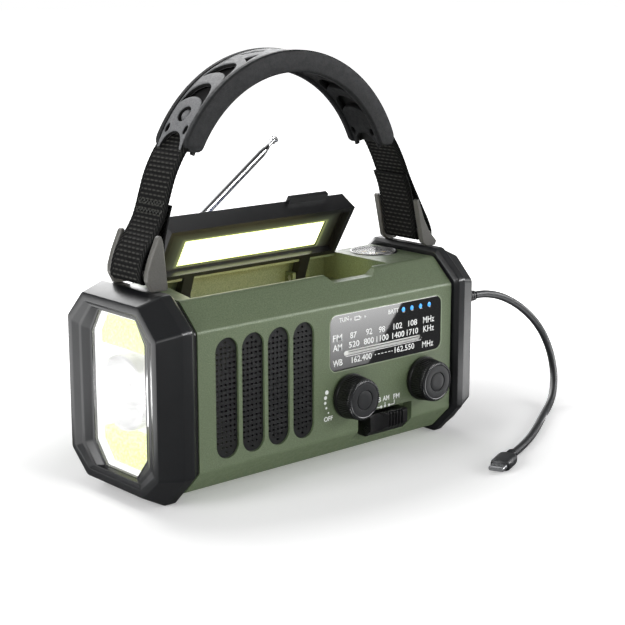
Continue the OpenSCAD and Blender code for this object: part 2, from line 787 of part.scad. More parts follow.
ROUTE = [[135.8, -8, 67.3], [141, -8, 67.2], [146.4, -8, 66.6], [153, -8.2, 65.2], [159.6, -8.6, 63],
  [166, -9.3, 60], [172.2, -10.3, 56.2], [178, -11.6, 51.6], [183.2, -13.2, 46.2],
  [187.2, -15.1, 40.2], [189.8, -17.3, 33.6], [190.8, -19.9, 26.8], [189.9, -22.9, 20.2],
  [187.2, -26.4, 14.2], [182.6, -30.2, 9], [176.2, -34.6, 5.2], [168.6, -39.2, 3.1],
  [160.4, -44, 2.3], [151.2, -49.6, 2.2], [142, -55.4, 2.2], [132.4, -61.4, 2.2],
  [122.4, -67.4, 2.2], [112, -73.2, 2.2], [101.4, -78.4, 2.2], [91, -83.2, 2.4], [82, -87.2, 3]];

function tangent(i) = unit(ROUTE[min(i + 1, len(ROUTE) - 1)] - ROUTE[max(i - 1, 0)]);

module tube(r, n) {
  m = len(ROUTE);
  pts = [for (i = [0:m - 1]) let (t = tangent(i), a = unit(cross(t, [0, 0.6, 0.8])),
    b = cross(t, a)) for (k = [0:n - 1]) ROUTE[i] + r * (cos(360 * k / n) * a + sin(360 * k / n) * b)];
  quads = [for (j = [0:m - 2]) for (k = [0:n - 1]) let (a = j * n + k, b = j * n + (k + 1) % n)
    each [[a, a + n, b], [b, a + n, b + n]]];
  polyhedron(pts, concat(quads, [[for (k = [0:n - 1]) k]],
    [[for (k = [0:n - 1]) (m - 1) * n + n - 1 - k]]));
}

module usb_plug() {
  color(CHROME) box([90, -14, 65.2], [102.4, -2, 69.4]);
  color(DARK) {
    box([101.6, -16, 63.1], [123, 0, 71.5]);
    translate([122.8, -8, 67.3]) rotate([0, 90, 0]) cylinder(r1 = 3.9, r2 = 2.9, h = 13);
  }
}

module usb_cable() {
  color(DARK) tube(2.15, 16);
}

module cable_connector() {
  color(DARK) translate([81, -87.6, 3]) rotate([0, 0, -156]) {
    translate([-1, 0, 0]) rotate([0, 90, 0]) cylinder(r = 2.9, h = 5);
    box([3.6, -5.4, -3], [19, 5.4, 3]);
  }
  color(CHROME) translate([81, -87.6, 3]) rotate([0, 0, -156]) box([18.6, -4.1, -1.2], [25.6, 4.1, 1.2]);
}

// ---- which node to draw -----------------------------------------------------------------------

main_shell();
rear_cover();
gasket_left();
gasket_right();
lamp_housing();
lamp_reflector();
spot_led();
cob_lamps();
lamp_lens();
right_cap();
bracket_left();
bracket_right();
speaker_grille();
speaker_basket();
speaker_cone();
dial_window();
dial_plate();
battery_leds();
tuning_rail();
tuning_pointer();
volume_knob();
tuning_knob();
volume_pot();
tuning_capacitor();
band_slider();
band_switch();
main_board();
battery_cells();
compass_cup();
compass_card();
compass_dome();
lid_frame();
reading_lamp();
solar_panel();
lid_hinge_pins();
antenna_base();
antenna_tube();
antenna_mid();
antenna_tip();
crank_hub();
crank_gear();
crank_arm();
crank_knob();
idler_gear();
generator_pinion();
generator();
gear_plate();
usb_port();
side_ports();
lamp_button();
sos_button();
strap_left();
strap_right();
grip();
case_screws();
usb_plug();
usb_cable();
cable_connector();
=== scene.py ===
import json
import math
from contextlib import contextmanager

import bmesh
import bpy
from mathutils import Matrix, Vector

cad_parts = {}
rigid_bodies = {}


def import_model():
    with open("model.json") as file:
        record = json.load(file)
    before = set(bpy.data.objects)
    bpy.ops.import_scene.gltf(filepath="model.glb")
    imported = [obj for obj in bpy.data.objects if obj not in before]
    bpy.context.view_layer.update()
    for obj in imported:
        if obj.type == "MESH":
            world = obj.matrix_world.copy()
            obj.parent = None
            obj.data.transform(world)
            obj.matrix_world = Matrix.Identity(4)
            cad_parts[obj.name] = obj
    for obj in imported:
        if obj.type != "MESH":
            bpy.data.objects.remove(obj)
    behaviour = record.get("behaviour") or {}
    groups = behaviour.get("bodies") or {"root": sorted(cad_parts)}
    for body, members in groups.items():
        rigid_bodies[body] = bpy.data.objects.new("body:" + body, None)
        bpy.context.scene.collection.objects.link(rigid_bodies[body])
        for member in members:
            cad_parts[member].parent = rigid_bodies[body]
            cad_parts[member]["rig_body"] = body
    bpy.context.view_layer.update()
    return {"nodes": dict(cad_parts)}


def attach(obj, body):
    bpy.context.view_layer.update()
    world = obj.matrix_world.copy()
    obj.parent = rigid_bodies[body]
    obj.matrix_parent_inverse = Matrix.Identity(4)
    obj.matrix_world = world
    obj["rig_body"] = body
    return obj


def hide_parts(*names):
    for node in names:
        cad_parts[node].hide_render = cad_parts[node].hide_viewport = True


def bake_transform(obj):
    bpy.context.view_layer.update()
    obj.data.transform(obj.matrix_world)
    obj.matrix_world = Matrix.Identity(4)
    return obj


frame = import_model()
NODES = frame["nodes"]
MM = 0.001
scene = bpy.context.scene


def link(ob):
    """Puts an object in the scene."""
    scene.collection.objects.link(ob)
    return ob


# ------------------------------------------------------------------ camera and lights

cam = link(bpy.data.objects.new("camera", bpy.data.cameras.new("camera")))
cam.location = (-0.5062, -0.5993, 0.2570)
cam.rotation_euler = (math.radians(90 - 12.965), 0, math.radians(-41.269))
cam.data.lens = 89.21
cam.data.sensor_width = 36
cam.data.clip_start = 0.01
scene.camera = cam
scene.view_settings.view_transform = "Standard"
scene.view_settings.look = "None"


def studio_world():
    """White to the camera, and a soft sky for everything else: grey above, darker below."""
    world = bpy.data.worlds.new("studio")
    scene.world = world
    world.use_nodes = True
    tree = world.node_tree
    tree.nodes.clear()
    out, mix, path, seen, sky, way, axes, ramp = (tree.nodes.new("ShaderNode" + kind) for kind in (
        "OutputWorld", "MixShader", "LightPath", "Background", "Background", "TexCoord", "SeparateXYZ",
        "ValToRGB"))
    seen.inputs["Color"].default_value = (1, 1, 1, 1)
    seen.inputs["Strength"].default_value = sky.inputs["Strength"].default_value = 1.0
    stops = ramp.color_ramp.elements
    stops.new(0.3)
    for stop, (height, grey) in zip(stops, ((0.0, 0.04), (0.3, 0.12), (1.0, 0.24))):
        stop.position = height
        stop.color = (grey, grey, grey, 1)
    for source, target in ((way.outputs["Generated"], axes.inputs[0]),
                           (axes.outputs["Z"], ramp.inputs["Fac"]),
                           (ramp.outputs["Color"], sky.inputs["Color"]),
                           (path.outputs["Is Camera Ray"], mix.inputs["Fac"]),
                           (sky.outputs[0], mix.inputs[1]), (seen.outputs[0], mix.inputs[2]),
                           (mix.outputs[0], out.inputs["Surface"])):
        tree.links.new(source, target)


studio_world()


def area(name, loc, aim, width, height, power, color=(1, 1, 1)):
    """Area light at loc in metres, turned to aim, with power in watts."""
    data = bpy.data.lights.new(name, "AREA")
    data.shape = "RECTANGLE"
    data.size, data.size_y = width, height
    data.energy = power
    data.color = color
    ob = link(bpy.data.objects.new(name, data))
    ob.location = loc
    ob.rotation_euler = (Vector(aim) - Vector(loc)).to_track_quat("-Z", "Y").to_euler()
    return ob


area("key", (0.85, -0.95, 0.52), (0, -0.04, 0.07), 1.4, 0.36, 6)
area("front", (-0.5, -1.2, 0.35), (0, 0, 0.06), 0.7, 0.5, 3)
area("top", (0.1, 0.3, 1.2), (0, 0, 0.05), 1.0, 0.5, 1.2)
area("right", (1.2, -0.3, 0.45), (0.05, 0, 0.07), 0.35, 0.8, 2.5)
area("left", (-1.1, 0.0, 0.45), (-0.05, 0, 0.07), 0.5, 0.7, 10)
area("back", (0.1, 1.2, 0.7), (0, 0, 0.1), 1.2, 0.5, 6)
lamp_glow = area("lamp glow", (-0.1037, 0, 0.052), (-0.3, 0, 0.052), 0.07, 0.024, 0.06)
well_glow = area("well glow", (-0.008, -0.012, 0.0965), (-0.008, 0.02, 0.088), 0.1, 0.008, 0.02,
                 (1, 0.76, 0.36))
lamp_glow.visible_camera = well_glow.visible_camera = False

# ------------------------------------------------------------------ materials


class Mat:
    """A Principled material with a few procedural helpers."""

    def __init__(self, name, color=(0.5, 0.5, 0.5), rough=0.5, metallic=0.0, **inputs):
        self.m = bpy.data.materials.new(name)
        self.m.use_nodes = True
        self.t = self.m.node_tree
        self.b = self.t.nodes["Principled BSDF"]
        self.set("Base Color", (*color, 1.0))
        self.set("Roughness", rough)
        self.set("Metallic", metallic)
        for k, v in inputs.items():
            self.set(k.replace("_", " "), v)
        self.normal = None

    def set(self, key, value):
        self.b.inputs[key].default_value = value

    def node(self, kind, **kw):
        n = self.t.nodes.new("ShaderNode" + kind)
        for k, v in kw.items():
            setattr(n, k, v)
        return n

    def link(self, a, b):
        self.t.links.new(a, b)

    def coords(self, scale=(1, 1, 1)):
        c = self.node("TexCoord")
        m = self.node("Mapping")
        m.inputs["Scale"].default_value = scale
        self.link(c.outputs["Object"], m.inputs["Vector"])
        return m.outputs["Vector"]

    def noise(self, scale, detail=2.0, rough=0.5, stretch=(1, 1, 1)):
        n = self.node("TexNoise")
        n.inputs["Scale"].default_value = scale
        n.inputs["Detail"].default_value = detail
        n.inputs["Roughness"].default_value = rough
        self.link(self.coords(stretch), n.inputs["Vector"])
        return n.outputs["Fac"]

    def voronoi(self, scale):
        n = self.node("TexVoronoi")
        n.inputs["Scale"].default_value = scale
        self.link(self.coords(), n.inputs["Vector"])
        return n.outputs["Distance"]

    def ramp(self, fac, stops):
        n = self.node("ValToRGB")
        e = n.color_ramp.elements
        while len(e) < len(stops):
            e.new(0.5)
        for i, (p, c) in enumerate(stops):
            e[i].position = p
            e[i].color = (*c, 1.0) if len(c) == 3 else c
        self.link(fac, n.inputs["Fac"])
        return n.outputs["Color"]

    def span(self, fac, lo, hi, a=0.0, b=1.0):
        """fac moved from the range a to b onto the range lo to hi, and held inside it."""
        n = self.node("MapRange")
        n.inputs["From Min"].default_value = a
        n.inputs["From Max"].default_value = b
        n.inputs["To Min"].default_value = lo
        n.inputs["To Max"].default_value = hi
        self.link(fac, n.inputs["Value"])
        return n.outputs["Result"]

    def mix(self, fac, a, b):
        n = self.node("Mix", data_type="RGBA")
        for sock, v in ((n.inputs[0], fac), (n.inputs[6], a), (n.inputs[7], b)):
            if isinstance(v, (int, float)):
                sock.default_value = v
            elif isinstance(v, tuple):
                sock.default_value = (*v, 1.0) if len(v) == 3 else v
            else:
                self.link(v, sock)
        return n.outputs[2]

    def bump(self, height, strength, distance):
        n = self.node("Bump")
        n.inputs["Strength"].default_value = strength
        n.inputs["Distance"].default_value = distance
        self.link(height, n.inputs["Height"])
        if self.normal is not None:
            self.link(self.normal, n.inputs["Normal"])
        self.normal = n.outputs["Normal"]
        self.link(self.normal, self.b.inputs["Normal"])
        return self

    def color(self, out):
        self.link(out, self.b.inputs["Base Color"])
        return self

    def roughness(self, fac, lo, hi):
        """Roughness from lo to hi as fac, a noise, runs through its usual values."""
        self.link(self.span(fac, lo, hi, 0.3, 0.7), self.b.inputs["Roughness"])
        return self


def srgb(code):
    """Linear colour from its six hexadecimal digits."""
    def linear(c):
        return c / 12.92 if c <= 0.04045 else ((c + 0.055) / 1.055) ** 2.4

    return tuple(linear(int(code[i:i + 2], 16) / 255) for i in (0, 2, 4))


def plastic(name, color, rough, grain=1400, depth=0.00004, mottle=0.12, strength=0.35):
    """Moulded plastic: spark-eroded grain, slow colour mottle, uneven sheen."""
    m = Mat(name, color, rough)
    big = m.noise(60, 3)
    fine = m.noise(grain, 3, 0.6)
    lo = tuple(c * (1 - mottle) for c in color)
    hi = tuple(min(1, c * (1 + mottle)) for c in color)
    tone = m.mix(m.span(fine, 0, 1, 0.35, 0.65), lo, hi)
    m.color(m.mix(m.span(big, 0.0, 0.35, 0.3, 0.8), tone, tuple(c * 1.12 for c in color)))
    m.roughness(m.noise(140, 3), rough - 0.02, rough + 0.03)
    m.bump(fine, strength, depth)
    return m.m


def speckled_green():
    """Painted case: fine grain between two greens, with sparse paler specks."""
    m = Mat("green_shell", srgb("5f6d50"), 0.5)
    grain = m.noise(1700, 3, 0.65)
    specks = m.noise(2600, 2, 0.5)
    tone = m.mix(m.span(grain, 0, 1, 0.32, 0.7), srgb("516045"), srgb("6b785b"))
    m.color(m.mix(m.span(specks, 0, 0.6, 0.60, 0.78), tone, srgb("8d9879")))
    m.roughness(m.noise(300, 3), 0.38, 0.5)
    m.bump(grain, 0.45, 0.00006)
    return m.m


green = speckled_green()
black = plastic("cap_black", srgb("17181a"), 0.30, 1800, 0.00003, 0.15)
black_soft = plastic("trim_black", srgb("0e0e0f"), 0.28, 2000, 0.00003, 0.15)
lid_black = plastic("lid_black", srgb("17181a"), 0.30, 2200, 0.00002, 0.1)
knob_black = plastic("knob_black", srgb("0a0a0b"), 0.30, 2400, 0.00002, 0.12)
knob_face = plastic("knob_face", srgb("1d1e20"), 0.38, 2600, 0.00002, 0.1)
gasket_mat = plastic("gasket_rubber", srgb("090909"), 0.4, 1500, 0.00004, 0.2)
bracket_mat = plastic("bracket_grey", srgb("5a5955"), 0.32, 1600, 0.00003, 0.12)
grille_mat = plastic("grille_black", srgb("101112"), 0.4, 1500, 0.00003, 0.2)
inner_mat = plastic("inner_dark", srgb("17181a"), 0.6, 1200, 0.00004, 0.2)
part_mat = plastic("component_grey", srgb("8f8f8b"), 0.5, 1200, 0.00003, 0.1)
gear_mat = plastic("gear_acetal", srgb("dcdcd4"), 0.35, 1600, 0.00002, 0.04)
cable_mat = plastic("cable_jacket", srgb("202124"), 0.40, 1500, 0.00003, 0.12)
button_mat = plastic("button_rubber", srgb("232427"), 0.55, 1500, 0.00004, 0.15)
sos_mat = plastic("button_red", srgb("a81c14"), 0.5, 1500, 0.00004, 0.1)


def metal(name, color, rough):
    """Metal with fine brushing across Z."""
    m = Mat(name, color, rough, 1.0)
    n = m.noise(900, 4, 0.6, stretch=(1, 1, 60))
    m.roughness(n, max(0.02, rough - 0.05), rough + 0.08)
    m.bump(n, 0.08, 0.00001)
    return m.m


chrome = metal("chrome", (0.86, 0.87, 0.88), 0.09)
steel = metal("steel", (0.62, 0.63, 0.65), 0.28)
brass = metal("brass", (0.76, 0.56, 0.26), 0.22)
dark_steel = metal("blackened_steel", (0.16, 0.16, 0.17), 0.35)

# ------------------------------------------------------------------ mesh helpers


@contextmanager
def editing(me):
    """Opens a mesh as a bmesh and writes it back."""
    bm = bmesh.new()
    bm.from_mesh(me)
    yield bm
    bm.to_mesh(me)
    bm.free()


def declare(ob, body, replaces, slot):
    """Attaches a piece to the body it rides on and hides the CAD nodes it stands for. slot is not used."""
    if body:
        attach(ob, body)
    if replaces:
        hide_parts(replaces)
    return ob


def remove(ob):
    """Removes an object with its mesh."""
    me = ob.data
    bpy.data.objects.remove(ob)
    bpy.data.meshes.remove(me)


def new(name, verts, faces, mat, body, replaces=None, slot=None, smooth=None, doubles=0.0):
    """A piece from vertices in mm. smooth is the sharpest angle shaded over; doubles is the weld, in mm."""
    me = bpy.data.meshes.new(name)
    me.from_pydata([(x * MM, y * MM, z * MM) for x, y, z in verts], [], faces)
    me.update()
    with editing(me) as bm:
        if doubles:
            bmesh.ops.remove_doubles(bm, verts=bm.verts, dist=doubles * MM)
        bmesh.ops.recalc_face_normals(bm, faces=bm.faces)
    ob = link(bpy.data.objects.new(name, me))
    ob.data.materials.append(mat)
    if smooth is not None:
        shade(ob, smooth)
    return declare(ob, body, replaces, slot)


def shade(ob, degrees=30):
    """Smooth faces, with edges sharper than this kept sharp."""
    with editing(ob.data) as bm:
        for f in bm.faces:
            f.smooth = True
        for e in bm.edges:
            e.smooth = len(e.link_faces) == 2 and e.calc_face_angle(0) < math.radians(degrees)


def applied(ob):
    """Applies every modifier on ob."""
    bpy.context.view_layer.update()
    dg = bpy.context.evaluated_depsgraph_get()
    me = bpy.data.meshes.new_from_object(ob.evaluated_get(dg))
    old = ob.data
    ob.modifiers.clear()
    ob.data = me
    me.name = ob.name
    bpy.data.meshes.remove(old)
    return ob


def bevel(ob, width, segments, angle, smooth):
    """Rounds the edges sharper than angle, and keeps the flats between them flat in their shading."""
    m = ob.modifiers.new("bevel", "BEVEL")
    m.width = width * MM
    m.segments = segments
    m.limit_method = "ANGLE"
    m.angle_limit = math.radians(angle)
    m.use_clamp_overlap = False
    m.miter_outer = "MITER_ARC"
    applied(ob)
    shade(ob, smooth)
    w = ob.modifiers.new("flat", "WEIGHTED_NORMAL")
    w.keep_sharp = True
    w.weight = 100
    applied(ob)


def join(name, parts, body=None, replaces=None, slot=None):
    """One object from several, keeping each one's material."""
    mats, verts, faces, slots, smooth = [], [], [], [], []
    for p in parts:
        off = len(verts)
        verts += [v.co.copy() for v in p.data.vertices]
        remap = []
        for s in p.data.materials:
            if s not in mats:
                mats.append(s)
            remap.append(mats.index(s))
        for f in p.data.polygons:
            faces.append([off + i for i in f.vertices])
            slots.append(remap[f.material_index])
            smooth.append(f.use_smooth)
    me = bpy.data.meshes.new(name)
    me.from_pydata(verts, [], faces)
    for m in mats:
        me.materials.append(m)
    me.polygons.foreach_set("material_index", slots)
    me.polygons.foreach_set("use_smooth", smooth)
    me.update()
    ob = link(bpy.data.objects.new(name, me))
    if any(smooth):
        shade(ob, 35)
    for p in parts:
        remove(p)
    return declare(ob, body, replaces, slot)


def octagon(half, low, high, side_low, side_high, top_half, foot_half):
    """End section of the radio as (y, z): half wide, low to high, with its four corners cut off."""
    return [(-foot_half, low), (foot_half, low), (half, side_low), (half, side_high),
            (top_half, high), (-top_half, high), (-half, side_high), (-half, side_low)]


def corner(p, i):
    """Corner i of outline p: its point, the directions to both neighbours, and half its angle."""
    q = Vector(p[i])
    a = (Vector(p[i - 1]) - q).normalized()
    b = (Vector(p[(i + 1) % len(p)]) - q).normalized()
    return q, a, b, math.acos(max(-1, min(1, a.dot(b)))) / 2


def rounded(p, r, n=6):
    """Outline p with its corners rounded to radius r, in n steps each."""
    out = []
    for i in range(len(p)):
        q, a, b, half = corner(p, i)
        c = q + (a + b).normalized() * (r / math.sin(half))
        t0 = q + a * (r / math.tan(half)) - c
        t1 = q + b * (r / math.tan(half)) - c
        start = math.atan2(t0.y, t0.x)
        turn = math.atan2(t1.y, t1.x) - start
        turn = (turn + math.pi) % (2 * math.pi) - math.pi
        out += [(c.x + r * math.cos(start + turn * k / n), c.y + r * math.sin(start + turn * k / n))
                for k in range(n + 1)]
    return out


def inset(p, d):
    """Outline p with every side moved in by d."""
    out = []
    for i in range(len(p)):
        q, a, b, half = corner(p, i)
        c = q + (a + b).normalized() * (d / math.sin(half))
        out.append((c.x, c.y))
    return out


def skin(name, rings, mat, body=None, caps=(True, True), **kw):
    """Surface through rings of equally many (x, y, z) points, in mm."""
    n = len(rings[0])
    verts = [p for r in rings for p in r]
    faces = []
    for j in range(len(rings) - 1):
        for i in range(n):
            a, b = j * n + i, j * n + (i + 1) % n
            faces.append((a, b, b + n, a + n))
    if caps[0]:
        faces.append(tuple(range(n))[::-1])
    if caps[1]:
        faces.append(tuple(range(len(verts) - n, len(verts))))
    return new(name, verts, faces, mat, body, **kw)


def lathe(name, profile, mat, body=None, centre=(0, 0, 0), axis="Y", n=96, wobble=None, **kw):
    """Solid of revolution from (radius, along) pairs, in mm, along +axis from centre."""
    verts, faces = [], []
    start = []
    for r, a in profile:
        start.append(len(verts))
        count = 1 if r < 1e-6 else n
        for k in range(count):
            t = 2 * math.pi * k / n
            q = r + (wobble(r, a, k) if wobble and count > 1 else 0)
            u, v = q * math.cos(t), q * math.sin(t)
            p = {"X": (a, u, v), "Y": (u, a, v), "Z": (u, v, a)}[axis]
            verts.append(tuple(c + o for c, o in zip(centre, p)))
    for j in range(len(profile) - 1):
        a, b = start[j], start[j + 1]
        one_a, one_b = profile[j][0] < 1e-6, profile[j + 1][0] < 1e-6
        for k in range(n):
            m = (k + 1) % n
            if one_a and one_b:
                continue
            if one_a:
                faces.append((a, b + k, b + m))
            elif one_b:
                faces.append((a + k, a + m, b))
            else:
                faces.append((a + k, a + m, b + m, b + k))
    return new(name, verts, faces, mat, body, **kw)


def spline(points, per=8):
    """Catmull-Rom through the points."""
    p = [Vector(q) for q in points]
    p = [2 * p[0] - p[1]] + p + [2 * p[-1] - p[-2]]
    out = []
    for i in range(1, len(p) - 2):
        for k in range(per):
            t = k / per
            out.append(0.5 * (2 * p[i] + (p[i + 1] - p[i - 1]) * t
                              + (2 * p[i - 1] - 5 * p[i] + 4 * p[i + 1] - p[i + 2]) * t * t
                              + (3 * p[i] - p[i - 1] - 3 * p[i + 1] + p[i + 2]) * t ** 3))
    return out + [p[-2].copy()]


def sweep(name, path, radius, mat, body=None, n=20, **kw):
    """Round tube along a path, in mm."""
    path = [Vector(q) for q in path]
    rings = []
    up = Vector((0, 0.6, 0.8))
    for i, q in enumerate(path):
        t = (path[min(i + 1, len(path) - 1)] - path[max(i - 1, 0)]).normalized()
        a = t.cross(up).normalized()
        b = t.cross(a)
        rings.append([tuple(q + radius * (math.cos(2 * math.pi * k / n) * a
                                          + math.sin(2 * math.pi * k / n) * b)) for k in range(n)])
    return skin(name, rings, mat, body, **kw)


SLIVER = 0.05 * MM ** 2
EASE_ANGLE, EASE_SHADE = 28, 40


def sound(me):
    """Whether every face fills the area of its own outline, which one folded over itself doesn't."""
    bm = bmesh.new()
    bm.from_mesh(me)
    filled = [0.0] * len(bm.faces)
    for tri in bm.calc_loop_triangles():
        a, b, c = (loop.vert.co for loop in tri)
        filled[tri[0].face.index] += (b - a).cross(c - a).length / 2
    ok = all(filled[f.index] < 1.05 * f.calc_area() + SLIVER for f in bm.faces)
    bm.free()
    return ok


def from_cad(node, mat, width=0.3, segments=2):
    """A CAD node's own shape with its edges eased by width, or by less where that would fold a face."""
    src = NODES[node]
    bm = bmesh.new()
    bm.from_mesh(src.data)
    bmesh.ops.remove_doubles(bm, verts=bm.verts, dist=0.01 * MM)
    bmesh.ops.dissolve_limit(bm, angle_limit=math.radians(1), verts=bm.verts, edges=bm.edges)
    plain = bpy.data.meshes.new(node + "_plain")
    bm.to_mesh(plain)
    bm.free()
    ob = link(bpy.data.objects.new(node + "_eased", plain))
    for part in (1, 0.7, 0.5, 0.35, 0.22, 0.12):
        ob.data = plain.copy()
        bevel(ob, width * part, segments, EASE_ANGLE, EASE_SHADE)
        if sound(ob.data):
            break
    ob.data.name = node + "_eased"
    ob.data.materials.clear()
    ob.data.materials.append(mat)
    return declare(ob, src["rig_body"], node, None)


def dress(node, mat):
    """Gives a CAD node that shows as it is its material."""
    ob = NODES[node]
    ob.data.materials.clear()
    ob.data.materials.append(mat)
    shade(ob, 35)


# ------------------------------------------------------------------ floor and cards

def pale_floor():
    """White floor: the camera sees it lit evenly far away and by the lights near the radio, so that its
    shadow shows; other rays meet a plain grey or glowing plane."""
    ob = link(bpy.data.objects.new("floor", bpy.data.meshes.new("floor")))
    ob.data.from_pydata([(-6, -6, 0), (6, -6, 0), (6, 6, 0), (-6, 6, 0)], [], [(0, 1, 2, 3)])
    m = Mat("floor", (0.86, 0.86, 0.86), 0.9, Specular_IOR_Level=0.0, Emission_Strength=1.0)
    ray = m.node("LightPath").outputs
    far = m.node("TexGradient", gradient_type="SPHERICAL")
    m.link(m.coords((3.0, 4.5, 1.0)), far.inputs["Vector"])
    pool = m.ramp(far.outputs["Fac"], [(0.08, (1, 1, 1)), (0.6, (0.2, 0.2, 0.2))])
    bounce = m.mix(ray["Is Diffuse Ray"], (0, 0, 0), (0.55, 0.55, 0.55))
    m.link(m.mix(ray["Is Camera Ray"], bounce, pool), m.b.inputs["Emission Color"])
    m.color(m.mix(ray["Is Glossy Ray"], (0.86, 0.86, 0.86), (0.22, 0.22, 0.22)))
    ob.data.materials.append(m.m)


pale_floor()


def card(name, corners, near, far):
    """White card, in mm, that only shows in reflections. Its light runs from near to far across it."""
    ob = link(bpy.data.objects.new(name, bpy.data.meshes.new(name)))
    ob.data.from_pydata([(x * MM, y * MM, z * MM) for x, y, z in corners], [], [(0, 1, 2, 3)])
    level = ob.data.attributes.new("level", "FLOAT", "POINT")
    for i, v in enumerate((near, near, far, far)):
        level.data[i].value = v
    m = Mat(name, (0, 0, 0), 1.0, Specular_IOR_Level=0.0, Emission_Color=(1, 1, 1, 1))
    m.link(m.node("Attribute", attribute_name="level").outputs["Fac"], m.b.inputs["Emission Strength"])
    ob.data.materials.append(m.m)
    ob.visible_camera = ob.visible_diffuse = ob.visible_shadow = ob.visible_transmission = False


def flat_card(name, x0, x1, y0, y1, z, level):
    """Level card at height z, evenly lit."""
    card(name, [(x0, y0, z), (x0, y1, z), (x1, y1, z), (x1, y0, z)], level, level)


card("dial_card", [(125.2, -179.8, 1), (158.5, -179.8, 1), (303.9, -296.3, 1), (229.9, -296.3, 1)], 1.3, 4.6)
card("deck_card", [(-60, 400, 60), (-60, 400, 700), (447, 400, 700), (447, 400, 60)], 5, 5)
card("edge_card", [(200, -1250, 400), (1450, -500, 400), (1450, -500, 640), (200, -1250, 640)], 16, 16)
flat_card("ring_card", -150, -600, 40, 500, 1, 2.6)
flat_card("end_card", 150, 520, -150, -50, 1, 3.5)

# ------------------------------------------------------------------ charging cable

ROUTE = [(135.8, -8, 67.3), (141, -8, 67.2), (146.4, -8, 66.6), (153, -8.2, 65.2),
         (159.6, -8.6, 63), (166, -9.3, 60), (172.2, -10.3, 56.2), (178, -11.6, 51.6),
         (183.2, -13.2, 46.2), (187.2, -15.1, 40.2), (189.8, -17.3, 33.6), (190.8, -19.9, 26.8),
         (189.9, -22.9, 20.2), (187.2, -26.4, 14.2), (182.6, -30.2, 9), (176.2, -34.6, 5.2),
         (168.6, -39.2, 3.1), (160.4, -44, 2.3), (151.2, -49.6, 2.2), (142, -55.4, 2.2),
         (132.4, -61.4, 2.2), (122.4, -67.4, 2.2), (112, -73.2, 2.2), (101.4, -78.4, 2.2),
         (91, -83.2, 2.4), (82, -87.2, 3)]
CABLE_D = 4.3
route = spline(ROUTE, 6)
route_length = sum((b - a).length for a, b in zip(route, route[1:]))
cable = sweep("charging_cable", route, CABLE_D / 2, cable_mat, "case", 24, replaces="usb_cable",
              slot="cable", smooth=60)

# ------------------------------------------------------------------ flat parts and lettering


def circle(u, v, r, rv=None, n=28):
    """Circle outline, or an ellipse rv high."""
    rv = rv or r
    return [(u + r * math.cos(2 * math.pi * k / n), v + rv * math.sin(2 * math.pi * k / n))
            for k in range(n)]


def round_rect(u0, v0, u1, v1, r, n=8):
    """Rectangle outline from one corner to the other, its corners rounded in n steps."""
    return rounded([(u0, v0), (u1, v0), (u1, v1), (u0, v1)], r, n)


def curve_mesh(curve):
    """The mesh of a curve or text, as vertices and faces."""
    ob = link(bpy.data.objects.new("curve", curve))
    bpy.context.view_layer.update()
    me = bpy.data.meshes.new_from_object(ob.evaluated_get(bpy.context.evaluated_depsgraph_get()))
    verts = [v.co.copy() for v in me.vertices]
    faces = [tuple(f.vertices) for f in me.polygons]
    bpy.data.objects.remove(ob)
    bpy.data.curves.remove(curve)
    bpy.data.meshes.remove(me)
    return verts, faces


def front(y):
    """Places a flat part on the front: (u, v, w) to (x, z), w growing backwards from y."""
    return lambda u, v, w: (u, y + w, v)


WELD = 0.003


def sliced(verts, faces, every):
    """The mesh cut across at even spaces along its first axis."""
    bm = bmesh.new()
    for v in verts:
        bm.verts.new(v)
    bm.verts.ensure_lookup_table()
    for f in faces:
        bm.faces.new([bm.verts[i] for i in f])
    bmesh.ops.remove_doubles(bm, verts=bm.verts, dist=WELD)
    lo, hi = min(v.x for v in verts), max(v.x for v in verts)
    for k in range(math.floor(lo / every), math.ceil(hi / every) + 1):
        bmesh.ops.bisect_plane(bm, geom=bm.verts[:] + bm.edges[:] + bm.faces[:],
                               plane_co=(k * every, 0, 0), plane_no=(1, 0, 0), dist=0.0005)
    bm.verts.index_update()
    verts = [v.co.copy() for v in bm.verts]
    faces = [tuple(v.index for v in f.verts) for f in bm.faces]
    bm.free()
    return verts, faces


def plate(name, outlines, thick, mat, place, body=None, edge=0.0, every=0.0, smooth=30, **kw):
    """Flat part from closed outlines in mm, holes among them. place maps (u, v, w) to (x, y, z)
    with w from 0 to thick; edges are rounded by edge; every is the spacing of cuts for bending."""
    cu = bpy.data.curves.new("flat", "CURVE")
    cu.dimensions = "2D"
    cu.fill_mode = "BOTH"
    cu.extrude = thick / 2 - edge
    cu.bevel_depth = edge
    cu.bevel_resolution = 1
    cu.offset = -edge
    for o in outlines:
        sp = cu.splines.new("POLY")
        sp.points.add(len(o) - 1)
        for p, (u, v) in zip(sp.points, o):
            p.co = (u, v, 0, 1)
        sp.use_cyclic_u = True
    verts, faces = curve_mesh(cu)
    if every:
        verts, faces = sliced(verts, faces, every)
    verts = [place(v.x, v.y, v.z + thick / 2) for v in verts]
    return new(name, verts, faces, mat, body, smooth=smooth, doubles=WELD, **kw)


PRINT = 0.05


def text(string, u, v, height, width, mat, place):
    """Raised print with its capitals height high and the whole word width wide, centred on (u, v)."""
    cu = bpy.data.curves.new("word", "FONT")
    cu.body = string
    cu.resolution_u = 3
    cu.extrude = 0.01
    cu.offset = 0.012
    verts, faces = curve_mesh(cu)
    x0, x1 = min(p.x for p in verts), max(p.x for p in verts)
    y0, y1 = min(p.y for p in verts), max(p.y for p in verts)
    pts = [place(u + ((p.x - x0) / (x1 - x0) - 0.5) * width, v + ((p.y - y0) / (y1 - y0) - 0.5) * height,
                 PRINT if p.z > 0 else 0) for p in verts]
    return new("word", pts, faces, mat, None, doubles=0.002)


# ------------------------------------------------------------------ case

